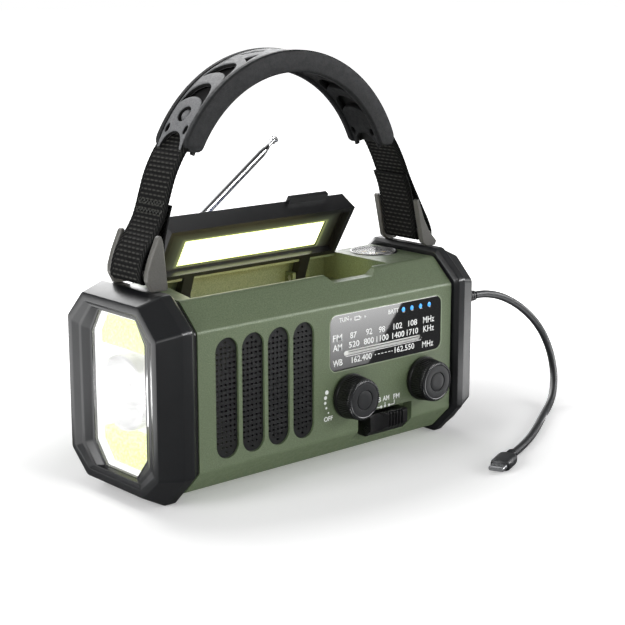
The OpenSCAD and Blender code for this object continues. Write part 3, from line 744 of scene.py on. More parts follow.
for node, mat, ease, segments in (
        ("main_shell", green, 0.3, 2), ("rear_cover", green, 0.3, 2), ("gasket_left", gasket_mat, 0.3, 2),
        ("gasket_right", gasket_mat, 0.3, 2), ("right_cap", black, 0.45, 2),
        ("bracket_left", bracket_mat, 0.7, 3), ("bracket_right", bracket_mat, 0.7, 3),
        ("case_screws", dark_steel, 0.15, 2)):
    from_cad(node, mat, ease, segments)

# ------------------------------------------------------------------ lamp end


LAMP_Z = 52.2


def lit(name, color, strength, low, scale=160, glow=None):
    """A lit surface: emission that wavers between low and 1 times strength."""
    m = Mat(name, color, 0.35, Emission_Color=(*(glow or color), 1))
    m.link(m.span(m.noise(scale, 2), strength * low, strength, 0.35, 0.6), m.b.inputs["Emission Strength"])
    return m.m


def clear(name, alpha, rough=0.04):
    """Clear pane: mostly see-through, with a gloss on it."""
    m = Mat(name, (1, 1, 1), rough, Alpha=alpha)
    m.roughness(m.noise(90, 3), rough, rough + 0.03)
    return m.m


def streaked_bowl():
    """Mirror of the centre lamp, with the lamp's light painted on it as streaks of emission."""
    m = Mat("lit_bowl", (0.12, 0.12, 0.12), 0.3, Emission_Color=(1, 1, 1, 1))
    streak = m.noise(60, 2, 0.5, stretch=(1, 0.25, 1.6))
    m.link(m.span(streak, 0.4, 0.95, 0.36, 0.62), m.b.inputs["Emission Strength"])
    return m.m


def dotted_field():
    """Yellow-green phosphor, palest over each of the small lights under it."""
    m = Mat("lit_field", srgb("6c7042"), 0.4, Emission_Strength=1.0)
    stops = [(0.0, srgb("fdffe0")), (0.35, srgb("f2fdb0")), (0.6, srgb("e4f58e"))]
    m.link(m.ramp(m.voronoi(620), stops), m.b.inputs["Emission Color"])
    return m.m


# painted light: the reflector tray and the spot lamp's bowl glow by emission, though neither is a lamp
reflector_mat = lit("lit_reflector", (0.4, 0.4, 0.4), 1.0, 0.9, 70, (1, 1, 1))
bowl_mat = streaked_bowl()
field_mat = dotted_field()
lens_mat = clear("lamp_glass", 0.10)
led_mat = lit("spot_glow", (1.0, 0.98, 0.9), 3.0, 0.8)
window = octagon(22, 13, 91, 24, 80, 15, 13)


def end_ring(x, outline):
    """Section of the lamp end at x."""
    return [(x, y, z) for y, z in outline]


def eased(rings, width):
    """Rings of a closed section, each one split in three so that its edge is rounded off."""
    out = []
    for k, ring in enumerate(rings):
        before, after = rings[k - 1], rings[(k + 1) % len(rings)]
        near, mid, far = [], [], []
        for p, q, r in zip(ring, before, after):
            p, q, r = Vector(p), Vector(q), Vector(r)
            a = p + (q - p) * min(0.45, width / max((q - p).length, 1e-6))
            b = p + (r - p) * min(0.45, width / max((r - p).length, 1e-6))
            near.append(tuple(a))
            mid.append(tuple((a + b) / 4 + p / 2))
            far.append(tuple(b))
        out += [near, mid, far]
    return out + [out[0]]


def lamp_end():
    """Housing of the lamp: flange, outer face, two steps in to the window, and the space behind it."""
    flange = octagon(41.5, 0, 103, 17, 88, 24.6, 25)
    outer = octagon(36.9, 6.3, 99.2, 17.8, 85.4, 23.2, 23.9)
    lip = octagon(33.4, 10.2, 95, 19.6, 83.4, 21.4, 22)
    ledge = octagon(29.6, 11.6, 93.6, 21, 82, 19.6, 19.4)
    step = octagon(27.6, 12.2, 92.6, 22, 81.4, 18.4, 17.6)
    sill = octagon(23.2, 12.6, 91.6, 23.6, 80.4, 15.8, 14)
    hollow = octagon(35.5, 5.5, 97.5, 18.8, 85.8, 22.4, 23)
    sections = ((-87.7, inset(flange, 2.2), 3.3), (-90.2, flange, 3.5), (-96, flange, 3.5), (-108, outer, 3),
                (-108, lip, 2), (-106.4, ledge, 2), (-106.4, step, 2), (-104, sill, 2), (-104, window, 2),
                (-100.6, window, 2), (-100.6, hollow, 2), (-87.7, hollow, 2))
    rings = [end_ring(x, rounded(outline, r)) for x, outline, r in sections]
    skin("lamp_end", eased(rings, 0.45), black, "case", caps=(False, False), replaces="lamp_housing",
         slot="black_shell", smooth=32, doubles=0.001)


def tray():
    """White tray behind the lens, with walls that slope in to its floor; its glow is the lamps' light painted
    on as emission.
    """
    rings = [end_ring(x, rounded(inset(window, d), r)) for x, d, r in (
        (-102.3, 0.25, 2), (-102.3, 0.9, 1.6), (-94, 2.2, 1.2), (-92.2, 3.0, 1.0))]
    return skin("reflector_tray", rings, reflector_mat, caps=(False, True), smooth=30)


def bowl():
    """Round reflector of the centre lamp, with a ribbed rim."""
    profile = [(4.6, 0.3), (6.2, 0.8), (8.2, 1.8), (10.6, 3.3), (12.8, 5.0), (14.8, 7.0), (16.2, 8.7),
               (17.2, 9.9), (18.0, 10.1), (18.7, 9.7), (18.9, 8.8), (18.9, 0.2)]
    return lathe("reflector_bowl", [(r, -92 - a) for r, a in profile], bowl_mat, None, (0, 0, LAMP_Z), "X",
                 120, smooth=35)


def field(z0, z1):
    """One lit field: a slab clipped to the window's outline, its front edge eased."""
    def shape(d):
        return [(y, min(max(z, z0 + d), z1 - d)) for y, z in rounded(inset(window, 1.5 + d), 1.2)]

    rings = [end_ring(x, shape(d)) for x, d in ((-92.1, 0), (-98.6, 0), (-99.2, 0.25), (-99.4, 0.8))]
    return skin("field", rings, field_mat, smooth=35)


lamp_end()
join("reflector", [tray(), bowl()], "case", "lamp_reflector", "reflector")
lathe("spot_lamp", [(0, -95.2), (1.8, -95.0), (3.2, -94.3), (4.1, -93.2), (4.5, -92.1), (4.5, -91.4),
                    (0, -91.4)], led_mat, "case", (0, 0, LAMP_Z), "X", 48, replaces="spot_led",
      slot="lamp_field", smooth=50)
join("lit_fields", [field(73.2, 91), field(13, 31)], "case", "cob_lamps", "lamp_field")
skin("lamp_pane", [end_ring(x, rounded(inset(window, d), 2)) for x, d in (
    (-102.35, 0.15), (-103.7, 0.15), (-103.95, 0.5))], lens_mat, "case", replaces="lamp_lens", slot="lens",
     smooth=30)

# ------------------------------------------------------------------ right end

from_cad("usb_port", steel, 0.12)
from_cad("side_ports", black_soft, 0.15)


def push_button(name, node, y, mat, body, slot):
    """Round button with a domed top that is dished in the middle."""
    profile = [(0, 102.2), (1.6, 102.15), (2.9, 101.9), (3.7, 101.45), (4.15, 100.9), (4.3, 100.2),
               (4.3, 97.7), (5.4, 97.6), (5.4, 96.0), (0, 96.0)]
    dished = [(r, x - (0.35 * max(0, 1 - (r / 3.0) ** 2) if x > 101 else 0)) for r, x in profile]
    lathe(name, dished, mat, body, (0, y, 40), "X", 64, replaces=node, slot=slot, smooth=40)


push_button("lamp_switch_cap", "lamp_button", -18, button_mat, "lamp_switch", "button")
push_button("sos_switch_cap", "sos_button", 18, sos_mat, "sos_switch", "sos")

# ------------------------------------------------------------------ speaker

from_cad("speaker_grille", grille_mat, 0.12, 1)
from_cad("speaker_basket", steel, 0.2)
cone_mat = Mat("cone_paper", srgb("26262a"), 0.85)
cone_mat.bump(cone_mat.noise(900, 4, 0.7), 0.5, 0.0001)
dress("speaker_cone", cone_mat.m)

# ------------------------------------------------------------------ dial

panel_black = Mat("panel_gloss", srgb("0c0d0f"), 0.03, IOR=1.9)
panel_black.roughness(panel_black.noise(60, 3), 0.02, 0.035)
print_white = plastic("print_white", srgb("eef0ee"), 0.5, 900, 0.00001, 0.03, 0.1)
strip_grey = plastic("scale_strip", srgb("dcddd9"), 0.45, 900, 0.00001, 0.05, 0.1)
pointer_white = plastic("pointer_white", srgb("f2f2ee"), 0.4, 900, 0.00001, 0.03, 0.1)
carriage_mat = plastic("carriage_grey", srgb("3b3c40"), 0.5)
blue_led = lit("led_blue", srgb("3a9ae8"), 1.0, 0.6)
bezel_mat = plastic("bezel_line", srgb("8e9a80"), 0.4, 1500, 0.00001, 0.08, 0.2)

LED_X, LED_Z = (49.7, 55.9, 62.3, 68.8), 77.1
DIAL_Y = -38.1
ON_PANEL = front(DIAL_Y - 0.05)
ON_CASE = front(-38.26)
led_holes = [circle(x, LED_Z, 1.32, n=24) for x in LED_X]
scale_slot = round_rect(8.4, 59.95, 62.6, 60.45, 0.22)
plate("dial_panel", [round_rect(-2.1, 51.9, 77.5, 81, 4.4, 12), round_rect(7.6, 58.75, 63.4, 61.65, 1.44, 10)]
      + led_holes, 2.1, panel_black.m, front(DIAL_Y), "case", edge=0.18, replaces="dial_window",
      slot="dial_window", smooth=8)
scale_back = plate("scale_back", [round_rect(-4.9, 49.1, 80.9, 83.9, 1), scale_slot]
                   + [circle(x, LED_Z, 1.34, n=24) for x in LED_X], 0.7, inner_mat, front(-35.95), edge=0.05)
scale_line = plate("scale_line", [round_rect(7.2, 58.4, 63.8, 62, 1.7), scale_slot], 0.8, strip_grey,
                   front(-36.75))
join("dial_scale", [scale_back, scale_line], "case", "dial_plate", "dial_plate")

leds = [lathe("led", [(0, -38.2), (0.7, -38.15), (1.1, -37.95), (1.25, -37.6), (1.25, -33.6), (0, -33.6)],
              blue_led, None, (x, 0, LED_Z), "Y", 24, smooth=50) for x in LED_X]
join("battery_lights", leds, "case", "battery_leds", "led")

nib = plate("nib", [round_rect(8.0, 58.95, 11.2, 61.45, 1.2)], 0.75, pointer_white, front(-37.6), edge=0.2)
neck = plate("neck", [round_rect(9.2, 60.05, 10.0, 60.35, 0.1)], 2.3, pointer_white, front(-37.0))
carriage = plate("carriage", [round_rect(6.6, 58.4, 12.6, 62, 0.5), circle(9.6, 60.2, 0.2, n=8)], 3.3,
                 carriage_mat, front(-34.9), edge=0.2)
join("pointer_slider", [nib, neck, carriage], "pointer", "tuning_pointer", "pointer")
from_cad("tuning_rail", steel, 0.1)


def words(place, *entries):
    """Printed words, each from its text, centre x and z, height and width."""
    return [text(word, x, z, height, width, print_white, place) for word, x, z, height, width in entries]


def dots(place, *entries, n=16):
    """Printed dots, each from its centre x and z and its radius."""
    return [plate("dot", [circle(x, z, r, n=n)], PRINT, print_white, place) for x, z, r in entries]


def bars(place, *entries):
    """Printed bars, each from its left, bottom, right and top."""
    return [plate("bar", [round_rect(*entry, 0.15)], PRINT, print_white, place) for entry in entries]


cell_icon = plate("cell_icon", [round_rect(14.6, 76.5, 18.6, 78.7, 0.4),
                                round_rect(15.1, 77.0, 18.1, 78.2, 0.2)], PRINT, print_white, ON_PANEL)
join("dial_print", [
    *words(ON_PANEL, ("TUN", 7.4, 78.2, 2.3, 6.4), ("BATT", 42.3, 77.4, 2.4, 7.5),
           ("FM", 3.1, 69.3, 3.4, 6.2),
           ("87", 13.9, 69.2, 3.2, 4.4), ("92", 24.9, 69.2, 3.2, 4.4), ("98", 34.0, 69.0, 3.2, 4.4),
           ("102", 45.5, 69.0, 3.2, 6.3), ("108", 56.4, 69.0, 3.2, 6.5), ("MHz", 68.3, 69.1, 3.4, 8.3),
           ("AM", 3.1, 64.3, 3.4, 6.2), ("520", 14.5, 64.4, 3.2, 7.2), ("800", 24.8, 64.4, 3.2, 7.0),
           ("1100", 34.5, 64.3, 3.2, 8.6), ("1400", 45.9, 64.2, 3.2, 8.8), ("1710", 56.3, 64.2, 3.2, 8.4),
           ("KHz", 68.4, 64.2, 3.4, 8.0), ("WB", 3.2, 56.3, 3.4, 6.6), ("162.400", 19.9, 56.2, 3.2, 14.0),
           ("162.550", 50.6, 56.3, 3.2, 14.4), ("MHz", 67.9, 55.8, 3.4, 8.3)),
    *dots(ON_PANEL, (12.1, 77.6, 0.55), (21.9, 77.6, 0.55), (29.5, 56.2, 0.3), (41.5, 56.2, 0.3)),
    *bars(ON_PANEL, *((x, 56.0, x + 1.5, 56.4) for x in (31.2, 33.7, 36.2, 38.7)), (18.7, 77.1, 19.2, 78.1)),
    cell_icon], "case", slot="pointer")
plate("dial_bezel", [round_rect(-2.65, 51.35, 78.05, 81.55, 4.95, 12),
                     round_rect(-2.15, 51.85, 77.55, 81.05, 4.45, 12)],
      0.35, bezel_mat, front(-38.32), "case", edge=0.1, slot="green_shell")

# ------------------------------------------------------------------ print on the case

volume_dots = []
for k in range(5):
    t = k / 4
    volume_dots.append((-4.2 + 1.1 * t - 1.6 * math.sin(math.pi * t), 42.2 - 10.9 * t, 1.15 - 0.7 * t))
join("case_print", [
    *dots(ON_CASE, *volume_dots, n=20),
    *words(ON_CASE, ("OFF", -3.1, 28.2, 2.5, 5.9), ("B", 32.7, 31.4, 2.7, 2.0), ("AM", 37.4, 31.5, 2.7, 4.6),
           ("FM", 45.0, 31.2, 2.7, 4.4)),
    *dots(ON_CASE, (34.0, 27.3, 0.75), (36.7, 27.3, 0.75), (39.6, 27.3, 0.75)),
    *bars(ON_CASE, (36.5, 27.6, 36.9, 29.4), (30.9, 27.1, 33.4, 27.5), (40.1, 27.1, 43.6, 27.5),
          (43.2, 27.1, 43.6, 29.4))], "case", slot="pointer")

# ------------------------------------------------------------------ knobs and slider

KNOB_Z = 37.8
KNOB_POINTS = 224
POINTS_PER_TOOTH = 4
knob_rib = plastic("knob_teeth", srgb("202123"), 0.2, 2400, 0.00001, 0.1)


def side_teeth(radius, along, k):
    """Ribs of the grip, between its flange and its rim."""
    return -0.17 * math.cos(2 * math.pi * k / POINTS_PER_TOOTH) if -48.9 < along < -41.4 else 0.0


def rim_teeth(radius, along, k):
    """Notches round the outer edge of the rim."""
    return 0.3 * math.cos(2 * math.pi * k / POINTS_PER_TOOTH) if radius > 9.9 else 0.0


def knob(name, node, x, body):
    """Turned knob: flange, ribbed grip, bevelled front rim, grooved face."""
    side = [(3.0, -27.6), (3.0, -38.6), (11.5, -38.7), (11.8, -39.1), (11.8, -40.6), (11.5, -41.0),
            (11.25, -41.2), (11.3, -41.6), (11.0, -44.2), (10.75, -46.6), (10.6, -48.7), (10.35, -49.0),
            (10.35, -49.3)]
    rim = [(10.35, -49.3), (10.25, -49.7), (9.95, -50.05), (9.5, -50.3), (9.1, -50.2), (8.9, -50.05)]
    face = [(8.9, -50.05), (8.6, -50.1), (5.6, -50.15), (5.35, -50.1), (5.15, -49.6), (4.85, -49.6),
            (4.65, -49.95), (4.3, -50.05), (2.0, -49.95), (0, -49.9)]
    centre = (x, 0, KNOB_Z)
    parts = [lathe("side", side, knob_black, None, centre, "Y", KNOB_POINTS, side_teeth, smooth=28),
             lathe("rim", rim, knob_rib, None, centre, "Y", KNOB_POINTS, rim_teeth, smooth=28),
             lathe("face", face, knob_face, None, centre, "Y", smooth=28)]
    join(name, parts, body, node, "knob")


knob("volume_dial", "volume_knob", 11.2, "volume")
knob("tuning_dial", "tuning_knob", 63.6, "tuner")
from_cad("band_slider", black_soft, 0.22)

# ------------------------------------------------------------------ works inside

board = Mat("board_green", srgb("124a2a"), 0.4)
board.color(board.mix(board.span(board.voronoi(420), 0, 1, 0.1, 0.25), srgb("0e3d22"), srgb("1c6b3c")))
cell_mat = Mat("cell_wrap", srgb("2f5fa8"), 0.3)
cell_mat.roughness(cell_mat.noise(200), 0.22, 0.4)
for node, mat, ease in (
        ("main_board", board.m, 0.1), ("battery_cells", cell_mat.m, 0.3), ("volume_pot", steel, 0.3),
        ("tuning_capacitor", part_mat, 0.4), ("band_switch", part_mat, 0.3), ("generator", steel, 0.4),
        ("gear_plate", steel, 0.15), ("crank_gear", gear_mat, 0.1), ("idler_gear", gear_mat, 0.1),
        ("generator_pinion", brass, 0.08)):
    from_cad(node, mat, ease, 1)

# ------------------------------------------------------------------ compass

COMPASS_X, COMPASS_Y = 71, 7.5
COMPASS = (COMPASS_X, COMPASS_Y, 0)
card_black = plastic("card_black", srgb("0d0e10"), 0.4, 900, 0.00001, 0.2, 0.2)
gold = plastic("card_gold", srgb("d9b23c"), 0.35, 900, 0.00001, 0.06, 0.2)
lathe("compass_seat", [(0, 95), (13.15, 95), (13.15, 99.0), (12.95, 99.45), (12.2, 99.6), (12.05, 99.3),
                       (12.0, 96), (0, 96)], black_soft, "case", COMPASS, "Z", replaces="compass_cup",
      slot="compass_body", smooth=30)
lathe("compass_pivot", [(0, 98.05), (0.35, 97.6), (0.4, 96.02), (1.6, 96.02), (0, 96.01)], brass, "case",
      COMPASS, "Z", 24, slot="steel", smooth=40)


def on_card(u, v, w):
    """Places a flat part on the compass card."""
    return COMPASS_X + u, COMPASS_Y + v, 97.75 + w


def turned(u, v, a):
    """(u, v) turned by a about the card's middle."""
    c, s = math.cos(a), math.sin(a)
    return u * c - v * s, u * s + v * c


def card_mark(points, angle, mat):
    """A flat mark on the card, drawn along +X and turned by angle."""
    return plate("mark", [[turned(u, v, angle) for u, v in points]], PRINT, mat, on_card)


def card_pieces():
    """The card's disc, its 36 ticks, four letters and the eight points of its rose."""
    yield lathe("disc", [(0.5, 97.2), (11.2, 97.2), (11.4, 97.4), (11.4, 97.6), (11.25, 97.75), (0.5, 97.75),
                         (0.5, 97.2)], card_black, None, COMPASS, "Z", smooth=30)
    for k in range(36):
        inner = 9.4 if k % 9 == 0 else (9.9 if k % 3 == 0 else 10.4)
        half = 0.22 if k % 3 == 0 else 0.12
        yield card_mark(((inner, -half), (11.0, -half), (11.0, half), (inner, half)), math.radians(10 * k),
                        print_white)
    for k, letter in enumerate("NWSE"):
        angle = math.radians(90 * k)
        yield text(letter, 0, 7.6, 2.9, 2.4, gold, lambda u, v, w, a=angle: on_card(*turned(u, v, a), w))
    for k in range(8):
        reach, dark = (5.2, gold) if k % 2 == 0 else (3.4, steel)
        for side, mat in ((1, print_white), (-1, dark)):
            yield card_mark(((0.5, 0), (1.5, side * 0.62), (reach, 0)), math.radians(45 * k), mat)


join("compass_dial", list(card_pieces()), "compass", "compass_card", "compass_card")
DOME_R, DOME_TOP, DOME_CURVE = 11.96, 99.9, 300
radii = [DOME_R * math.sin(math.pi / 2 * k / 14) for k in range(15)]
top = [(q, math.sqrt(DOME_CURVE ** 2 - q * q) + DOME_TOP - DOME_CURVE) for q in radii]
under = [(q * 0.94, z - 0.75) for q, z in reversed(top)]
lathe("compass_dome_glass", top + [(DOME_R, 98.7), (11.3, 98.7)] + under, clear("compass_glass", 0.16, 0.02),
      "case", COMPASS, "Z", 72, replaces="compass_dome", slot="compass_glass", smooth=50)

# ------------------------------------------------------------------ lid

from_cad("lid_frame", lid_black, 0.5)
from_cad("lid_hinge_pins", steel, 0.15)
LID_OPEN = 59
LID_TURN = Matrix.Rotation(math.radians(-LID_OPEN), 4, "X")
LID_AXIS = Vector((0, 25.2, 87.5))


def on_lid(z, down=True):
    """Places a flat part on the lid as it stands open: (u, v) are its X and Y when shut, z is the height it
    starts at, and it grows down or up from there."""
    def at(u, v, w):
        p = LID_TURN @ (Vector((u, v, z - w if down else z + w)) - LID_AXIS) + LID_AXIS
        return tuple(p)
    return at


panel_mat = lit("lamp_panel", (0.97, 1.0, 0.80), 3.2, 0.85, 60)
panel_edge = lit("lamp_panel_edge", srgb("e9f7a8"), 1.6, 0.75, 90)
diffuser = plate("diffuser", [round_rect(-52.8, -7.4, 37.8, 6.7, 0.8)], 0.5, panel_mat, on_lid(92.2),
                 edge=0.1)
border = plate("border", [round_rect(-54, -8.6, 39, 7.9, 0.8)], 2.9, panel_edge, on_lid(95.15), edge=0.15)
join("reading_light", [diffuser, border], "lid", "reading_lamp", "reading_lamp")


def halo(name, inner, outer, z, mat):
    """Painted glow round the panel: a thin ring whose inner edge shines by emission and whose outer edge
    doesn't.
    """
    a, b = round_rect(*inner, 0.8), round_rect(*outer, 3.0)
    n = len(a)
    place = on_lid(z)
    points = [place(u, v, w) for w in (0.06, 0.0) for u, v in a + b]
    faces = []
    for i in range(n):
        j = (i + 1) % n
        faces += [(i, j, n + j, n + i), (2 * n + i, 3 * n + i, 3 * n + j, 2 * n + j),
                  (i, 2 * n + i, 2 * n + j, j), (n + i, n + j, 3 * n + j, 3 * n + i)]
    ob = new(name, points, faces, mat, "lid", slot="reading_lamp", smooth=30)
    glow = ob.data.attributes.new("glow", "FLOAT", "POINT")
    for i in range(4 * n):
        glow.data[i].value = 1.0 if i % (2 * n) < n else 0.0


def glowing_rim():
    """Dark plastic round the panel with the panel's light painted on it as emission, fading outwards."""
    m = Mat("lamp_halo", srgb("2a2c26"), 0.4, Emission_Strength=0.5)
    glow = m.node("Attribute", attribute_name="glow").outputs["Fac"]
    stops = [(0.0, (0.0, 0.0, 0.0)), (0.35, srgb("1a1e19")), (0.75, srgb("4c5543")), (1.0, srgb("b4c07f"))]
    m.link(m.ramp(glow, stops), m.b.inputs["Emission Color"])
    m.bump(m.noise(2200, 3), 0.2, 0.00002)
    return m.m


# painted light: the reading lamp's glow on the lid round its panel
halo("lamp_surround", (-54.3, -8.9, 39.3, 8.2), (-64.5, -15.2, 47.5, 9.2), 91.58, glowing_rim())

solar_glass = Mat("solar_glass", srgb("0d1226"), 0.12)
solar_glass.roughness(solar_glass.noise(80, 3), 0.08, 0.2)
cell_blue = Mat("solar_cell", srgb("131c44"), 0.18, 0.25)
cell_blue.color(cell_blue.mix(cell_blue.span(cell_blue.voronoi(260), 0, 1, 0.1, 0.5), srgb("0e1636"),
                              srgb("22306a")))
busbar = metal("busbar", (0.72, 0.73, 0.75), 0.3)
COLUMNS, ROWS = 8, 2
CELL_W, CELL_H = 107.4 / COLUMNS, 25.4 / ROWS
CELLS_X, CELLS_Y = -62.2, -13.9
CELL_GAP = 0.3
FINGERS = 9


def solar_pieces():
    """The panel's glass, its cells, two busbars on each column and the fine fingers across them."""
    on_cells, on_bars = on_lid(99.32, False), on_lid(99.37, False)
    yield plate("sheet", [round_rect(-63.8, -15.4, 46.8, 13.2, 0.6)], 0.9, solar_glass.m,
                on_lid(98.42, False), edge=0.08)
    for i in range(COLUMNS):
        for j in range(ROWS):
            x, y = CELLS_X + i * CELL_W, CELLS_Y + j * CELL_H
            yield plate("cell", [round_rect(x + CELL_GAP, y + CELL_GAP, x + CELL_W - CELL_GAP,
                                            y + CELL_H - CELL_GAP, 0.8, 3)], 0.05, cell_blue.m, on_cells)
    for i in range(COLUMNS):
        for share in (0.3, 0.7):
            x = CELLS_X + (i + share) * CELL_W
            yield plate("bus", [round_rect(x - 0.35, -13.6, x + 0.35, 11.2, 0.1, 2)], 0.04, busbar, on_bars)
    for j in range(ROWS):
        for k in range(FINGERS):
            y = CELLS_Y + (j + (k + 1) / (FINGERS + 1)) * CELL_H
            yield plate("finger", [round_rect(-61.7, y - 0.06, 44.9, y + 0.06, 0.05, 2)], 0.03, busbar,
                        on_bars)


join("solar_sheet", list(solar_pieces()), "lid", "solar_panel", "solar")

# ------------------------------------------------------------------ antenna

MAST_FOOT = Vector((-79, 34, 88))
MAST_RISE = 36.1
MAST_TURN = Matrix.Rotation(math.radians(90 - MAST_RISE), 4, "Y")


def mast(name, node, profile, body):
    """Turned antenna section: (radius, distance from the pivot) pairs along the mast."""
    ob = lathe(name, profile, chrome, None, (0, 0, 0), "Z", 48, smooth=30)
    for v in ob.data.vertices:
        v.co = (MAST_TURN @ (v.co / MM) + MAST_FOOT) * MM
    declare(ob, body, node, "antenna")


from_cad("antenna_base", chrome, 0.25)
from_cad("antenna_tube", chrome, 0.2)
mast("antenna_stage", "antenna_mid", [
    (1.15, 12), (1.9, 12), (1.9, 117.6), (1.75, 117.9), (1.75, 119.2), (1.55, 119.6), (1.5, 120.0),
    (1.15, 120.2), (1.15, 12)], "antenna_middle")
mast("antenna_rod", "antenna_tip", [
    (0, 14), (1.1, 14), (1.1, 123.2), (1.25, 123.3), (1.85, 123.5), (1.9, 123.9), (1.8, 124.2), (1.3, 124.4),
    (1.5, 124.6), (2.1, 125.1), (2.3, 125.6), (2.2, 126.2), (1.6, 126.7), (0.7, 126.95), (0, 127.0)],
    "antenna_inner")

# ------------------------------------------------------------------ crank

from_cad("crank_hub", black, 0.4)
from_cad("crank_arm", black, 0.7, 3)


def flutes(radius, along, k):
    """Finger hollows down the crank's grip."""
    return -0.45 * max(0.0, math.cos(2 * math.pi * k / 8)) ** 3 if 47.2 < along < 57.6 else 0.0


lathe("crank_grip", [(2.1, 45), (7.2, 45), (7.9, 45.3), (8.3, 46.2), (8.4, 47.1), (8.3, 50), (8.0, 54),
                     (7.7, 57.3), (7.4, 58.2), (6.9, 58.9), (6.2, 59.2), (2.1, 59.2), (2.1, 45)], knob_black,
      "crank_grip", (68, 0, 50), "Y", 128, flutes, replaces="crank_knob", slot="knob", smooth=35)

# ------------------------------------------------------------------ plug and connector

PLUG_Y, PLUG_Z = -8, 67.3
FREE_END = Matrix.Translation((81, -87.6, 3)) @ Matrix.Rotation(math.radians(-156), 4, "Z")


def at_plug(x, y, z):
    return x, PLUG_Y + y, PLUG_Z + z


def at_free_end(x, y, z):
    return tuple(FREE_END @ Vector((x, y, z)))


def boxy(name, place, sections, mat, smooth, n=8):
    """Skin over rounded rectangles, each from its x, half width, half height and corner radius."""
    rings = [[place(x, y, z) for y, z in round_rect(-w, -h, w, h, r, n)] for x, w, h, r in sections]
    return skin(name, rings, mat, smooth=smooth)


def plug_pieces():
    """The plug's soft housing, which swells and closes, its ribbed relief and its metal shell."""
    profile = [(0, 122.6), (3.8, 122.6)]
    for k in range(6):
        x = 123.2 + k * 2.05
        r = 3.75 - 0.16 * k
        profile += [(r, x), (r + 0.05, x + 1.15), (r - 0.62, x + 1.3), (r - 0.62, x + 1.95)]
    profile += [(2.9, 135.5), (2.6, 135.8), (2.2, 135.8), (0, 135.8)]
    return [
        boxy("overmould", at_plug, ((101.6, 7.0, 3.4, 1.6), (101.9, 7.7, 3.95, 2.2), (102.6, 8.0, 4.2, 2.6),
                                    (108, 8.0, 4.2, 2.8), (116, 7.8, 4.15, 3.0), (119.5, 6.9, 4.1, 3.4),
                                    (121.8, 5.4, 3.95, 3.6), (123, 4.2, 3.9, 3.7)), cable_mat, 50),
        lathe("relief", profile, cable_mat, None, at_plug(0, 0, 0), "X", 40, smooth=30),
        boxy("shell", at_plug, ((90, 5.75, 1.85, 0.5), (90.25, 6, 2.1, 0.5), (102.4, 6, 2.1, 0.5)), steel,
             30, 3)]


def connector_pieces():
    """The connector at the free end: soft housing, metal tip and ribbed relief."""
    rings = []
    for k in range(13):
        r = 2.9 - (0.35 if k % 2 else 0)
        turns = [2 * math.pi * q / 32 for q in range(32)]
        rings.append([at_free_end(-1 + k * 0.42, r * math.cos(t), r * math.sin(t)) for t in turns])
    return [
        boxy("connector_body", at_free_end, ((3.6, 2.4, 2.1, 1.6), (4.2, 3.9, 2.6, 2.0), (5.6, 5.0, 2.9, 2.4),
                                             (8, 5.4, 3.0, 2.6), (17.6, 5.4, 3.0, 2.6), (18.7, 5.1, 2.8, 2.4),
                                             (19, 4.6, 2.4, 2.0)), cable_mat, 50),
        boxy("connector_tip", at_free_end, [(x, 4.1 - d, 1.2 - d, 0.85 - d)
                                            for x, d in ((18.6, 0), (25.2, 0), (25.6, 0.3))], steel, 40, 4),
        skin("connector_relief", rings, cable_mat, smooth=30)]


plug = join("usb_lead_plug", plug_pieces(), "case", "usb_plug", "plug")
far_end = join("cable_far_end", connector_pieces(), "case", "cable_connector", "plug")

# ------------------------------------------------------------------ webbing

WEB_W, WEB_T = 25.0, 1.5
RIB, KNOT, TWILL = 2.3, 3.4, 1.9
SELVEDGE = 2.7
RELIEF = 0.3
STEP = 0.29
ACROSS = 46
LEFT_WEB = [(-62.2, 175.4), (-67.4, 170.3), (-72.2, 164.6), (-77, 156), (-80.4, 146.8), (-82.9, 139.2),
            (-85.2, 134), (-88.6, 128.8), (-93.8, 122), (-96.6, 116.4), (-98, 110.4), (-97.8, 108.2),
            (-96.6, 107), (-95, 106.7), (-88.6, 106.7), (-86.6, 107.1), (-85.6, 108.6), (-85.2, 111),
            (-85, 118), (-84, 126), (-81.9, 134.6), (-79.4, 142.4)]
RIGHT_WEB = [(56.4, 172.2), (62.6, 167.4), (68, 160.5), (72.9, 152.4), (77.2, 143.6), (80.9, 136.6),
             (84.6, 130.2), (88.8, 123), (92, 117.6), (94.7, 112), (95.4, 108.8), (94.6, 107.2),
             (92.6, 106.7), (87, 106.7), (85.3, 107), (84.1, 108.4), (83.7, 110.6), (83.1, 115.4),
             (81.2, 125.8), (78.6, 135.6), (75.3, 142.9)]


def woven_black():
    """Black yarn, with a painted highlight on top of the ribs and painted shade between them, set by the
    mesh's own lift.
    """
    m = Mat("webbing", srgb("141515"), 0.7, Specular_IOR_Level=0.12)
    lift = m.node("Attribute", attribute_name="lift").outputs["Fac"]
    yarn = m.noise(2600, 3, 0.7)
    # painted highlight and shade: the yarn's tone runs from near-black in the hollows to grey on the rib tops
    tone = m.ramp(lift, [(0.0, srgb("010101")), (0.5, srgb("040404")), (0.75, srgb("151514")),
                         (0.95, srgb("40403c"))])
    m.color(m.mix(m.span(yarn, 0.0, 0.6, 0.35, 0.75), tone, srgb("090a0a")))
    m.roughness(yarn, 0.55, 0.85)
    m.bump(yarn, 0.5, 0.00012)
    return m.m


webbing_mat = woven_black()
thread_mat = plastic("thread", srgb("3a3b38"), 0.6, 3000, 0.00004, 0.2)


def weave(s, y):
    """Height of the woven face at s along and y across: ribs with knots, twill at the edges."""
    edge = WEB_W / 2 - abs(y)
    if edge < SELVEDGE:
        ridge = 0.5 + 0.5 * math.cos(2 * math.pi * (s / RIB + edge / TWILL))
        return RELIEF * ridge ** 1.5 * min(1.0, (edge + 0.35) / 0.8)
    rib = abs(math.sin(math.pi * s / RIB)) ** 1.3
    swell = math.cos(2 * math.pi * y / KNOT + math.pi * math.floor(s / RIB))
    return RELIEF * rib * (0.8 + 0.2 * max(0.0, min(1.0, 0.75 + swell)))


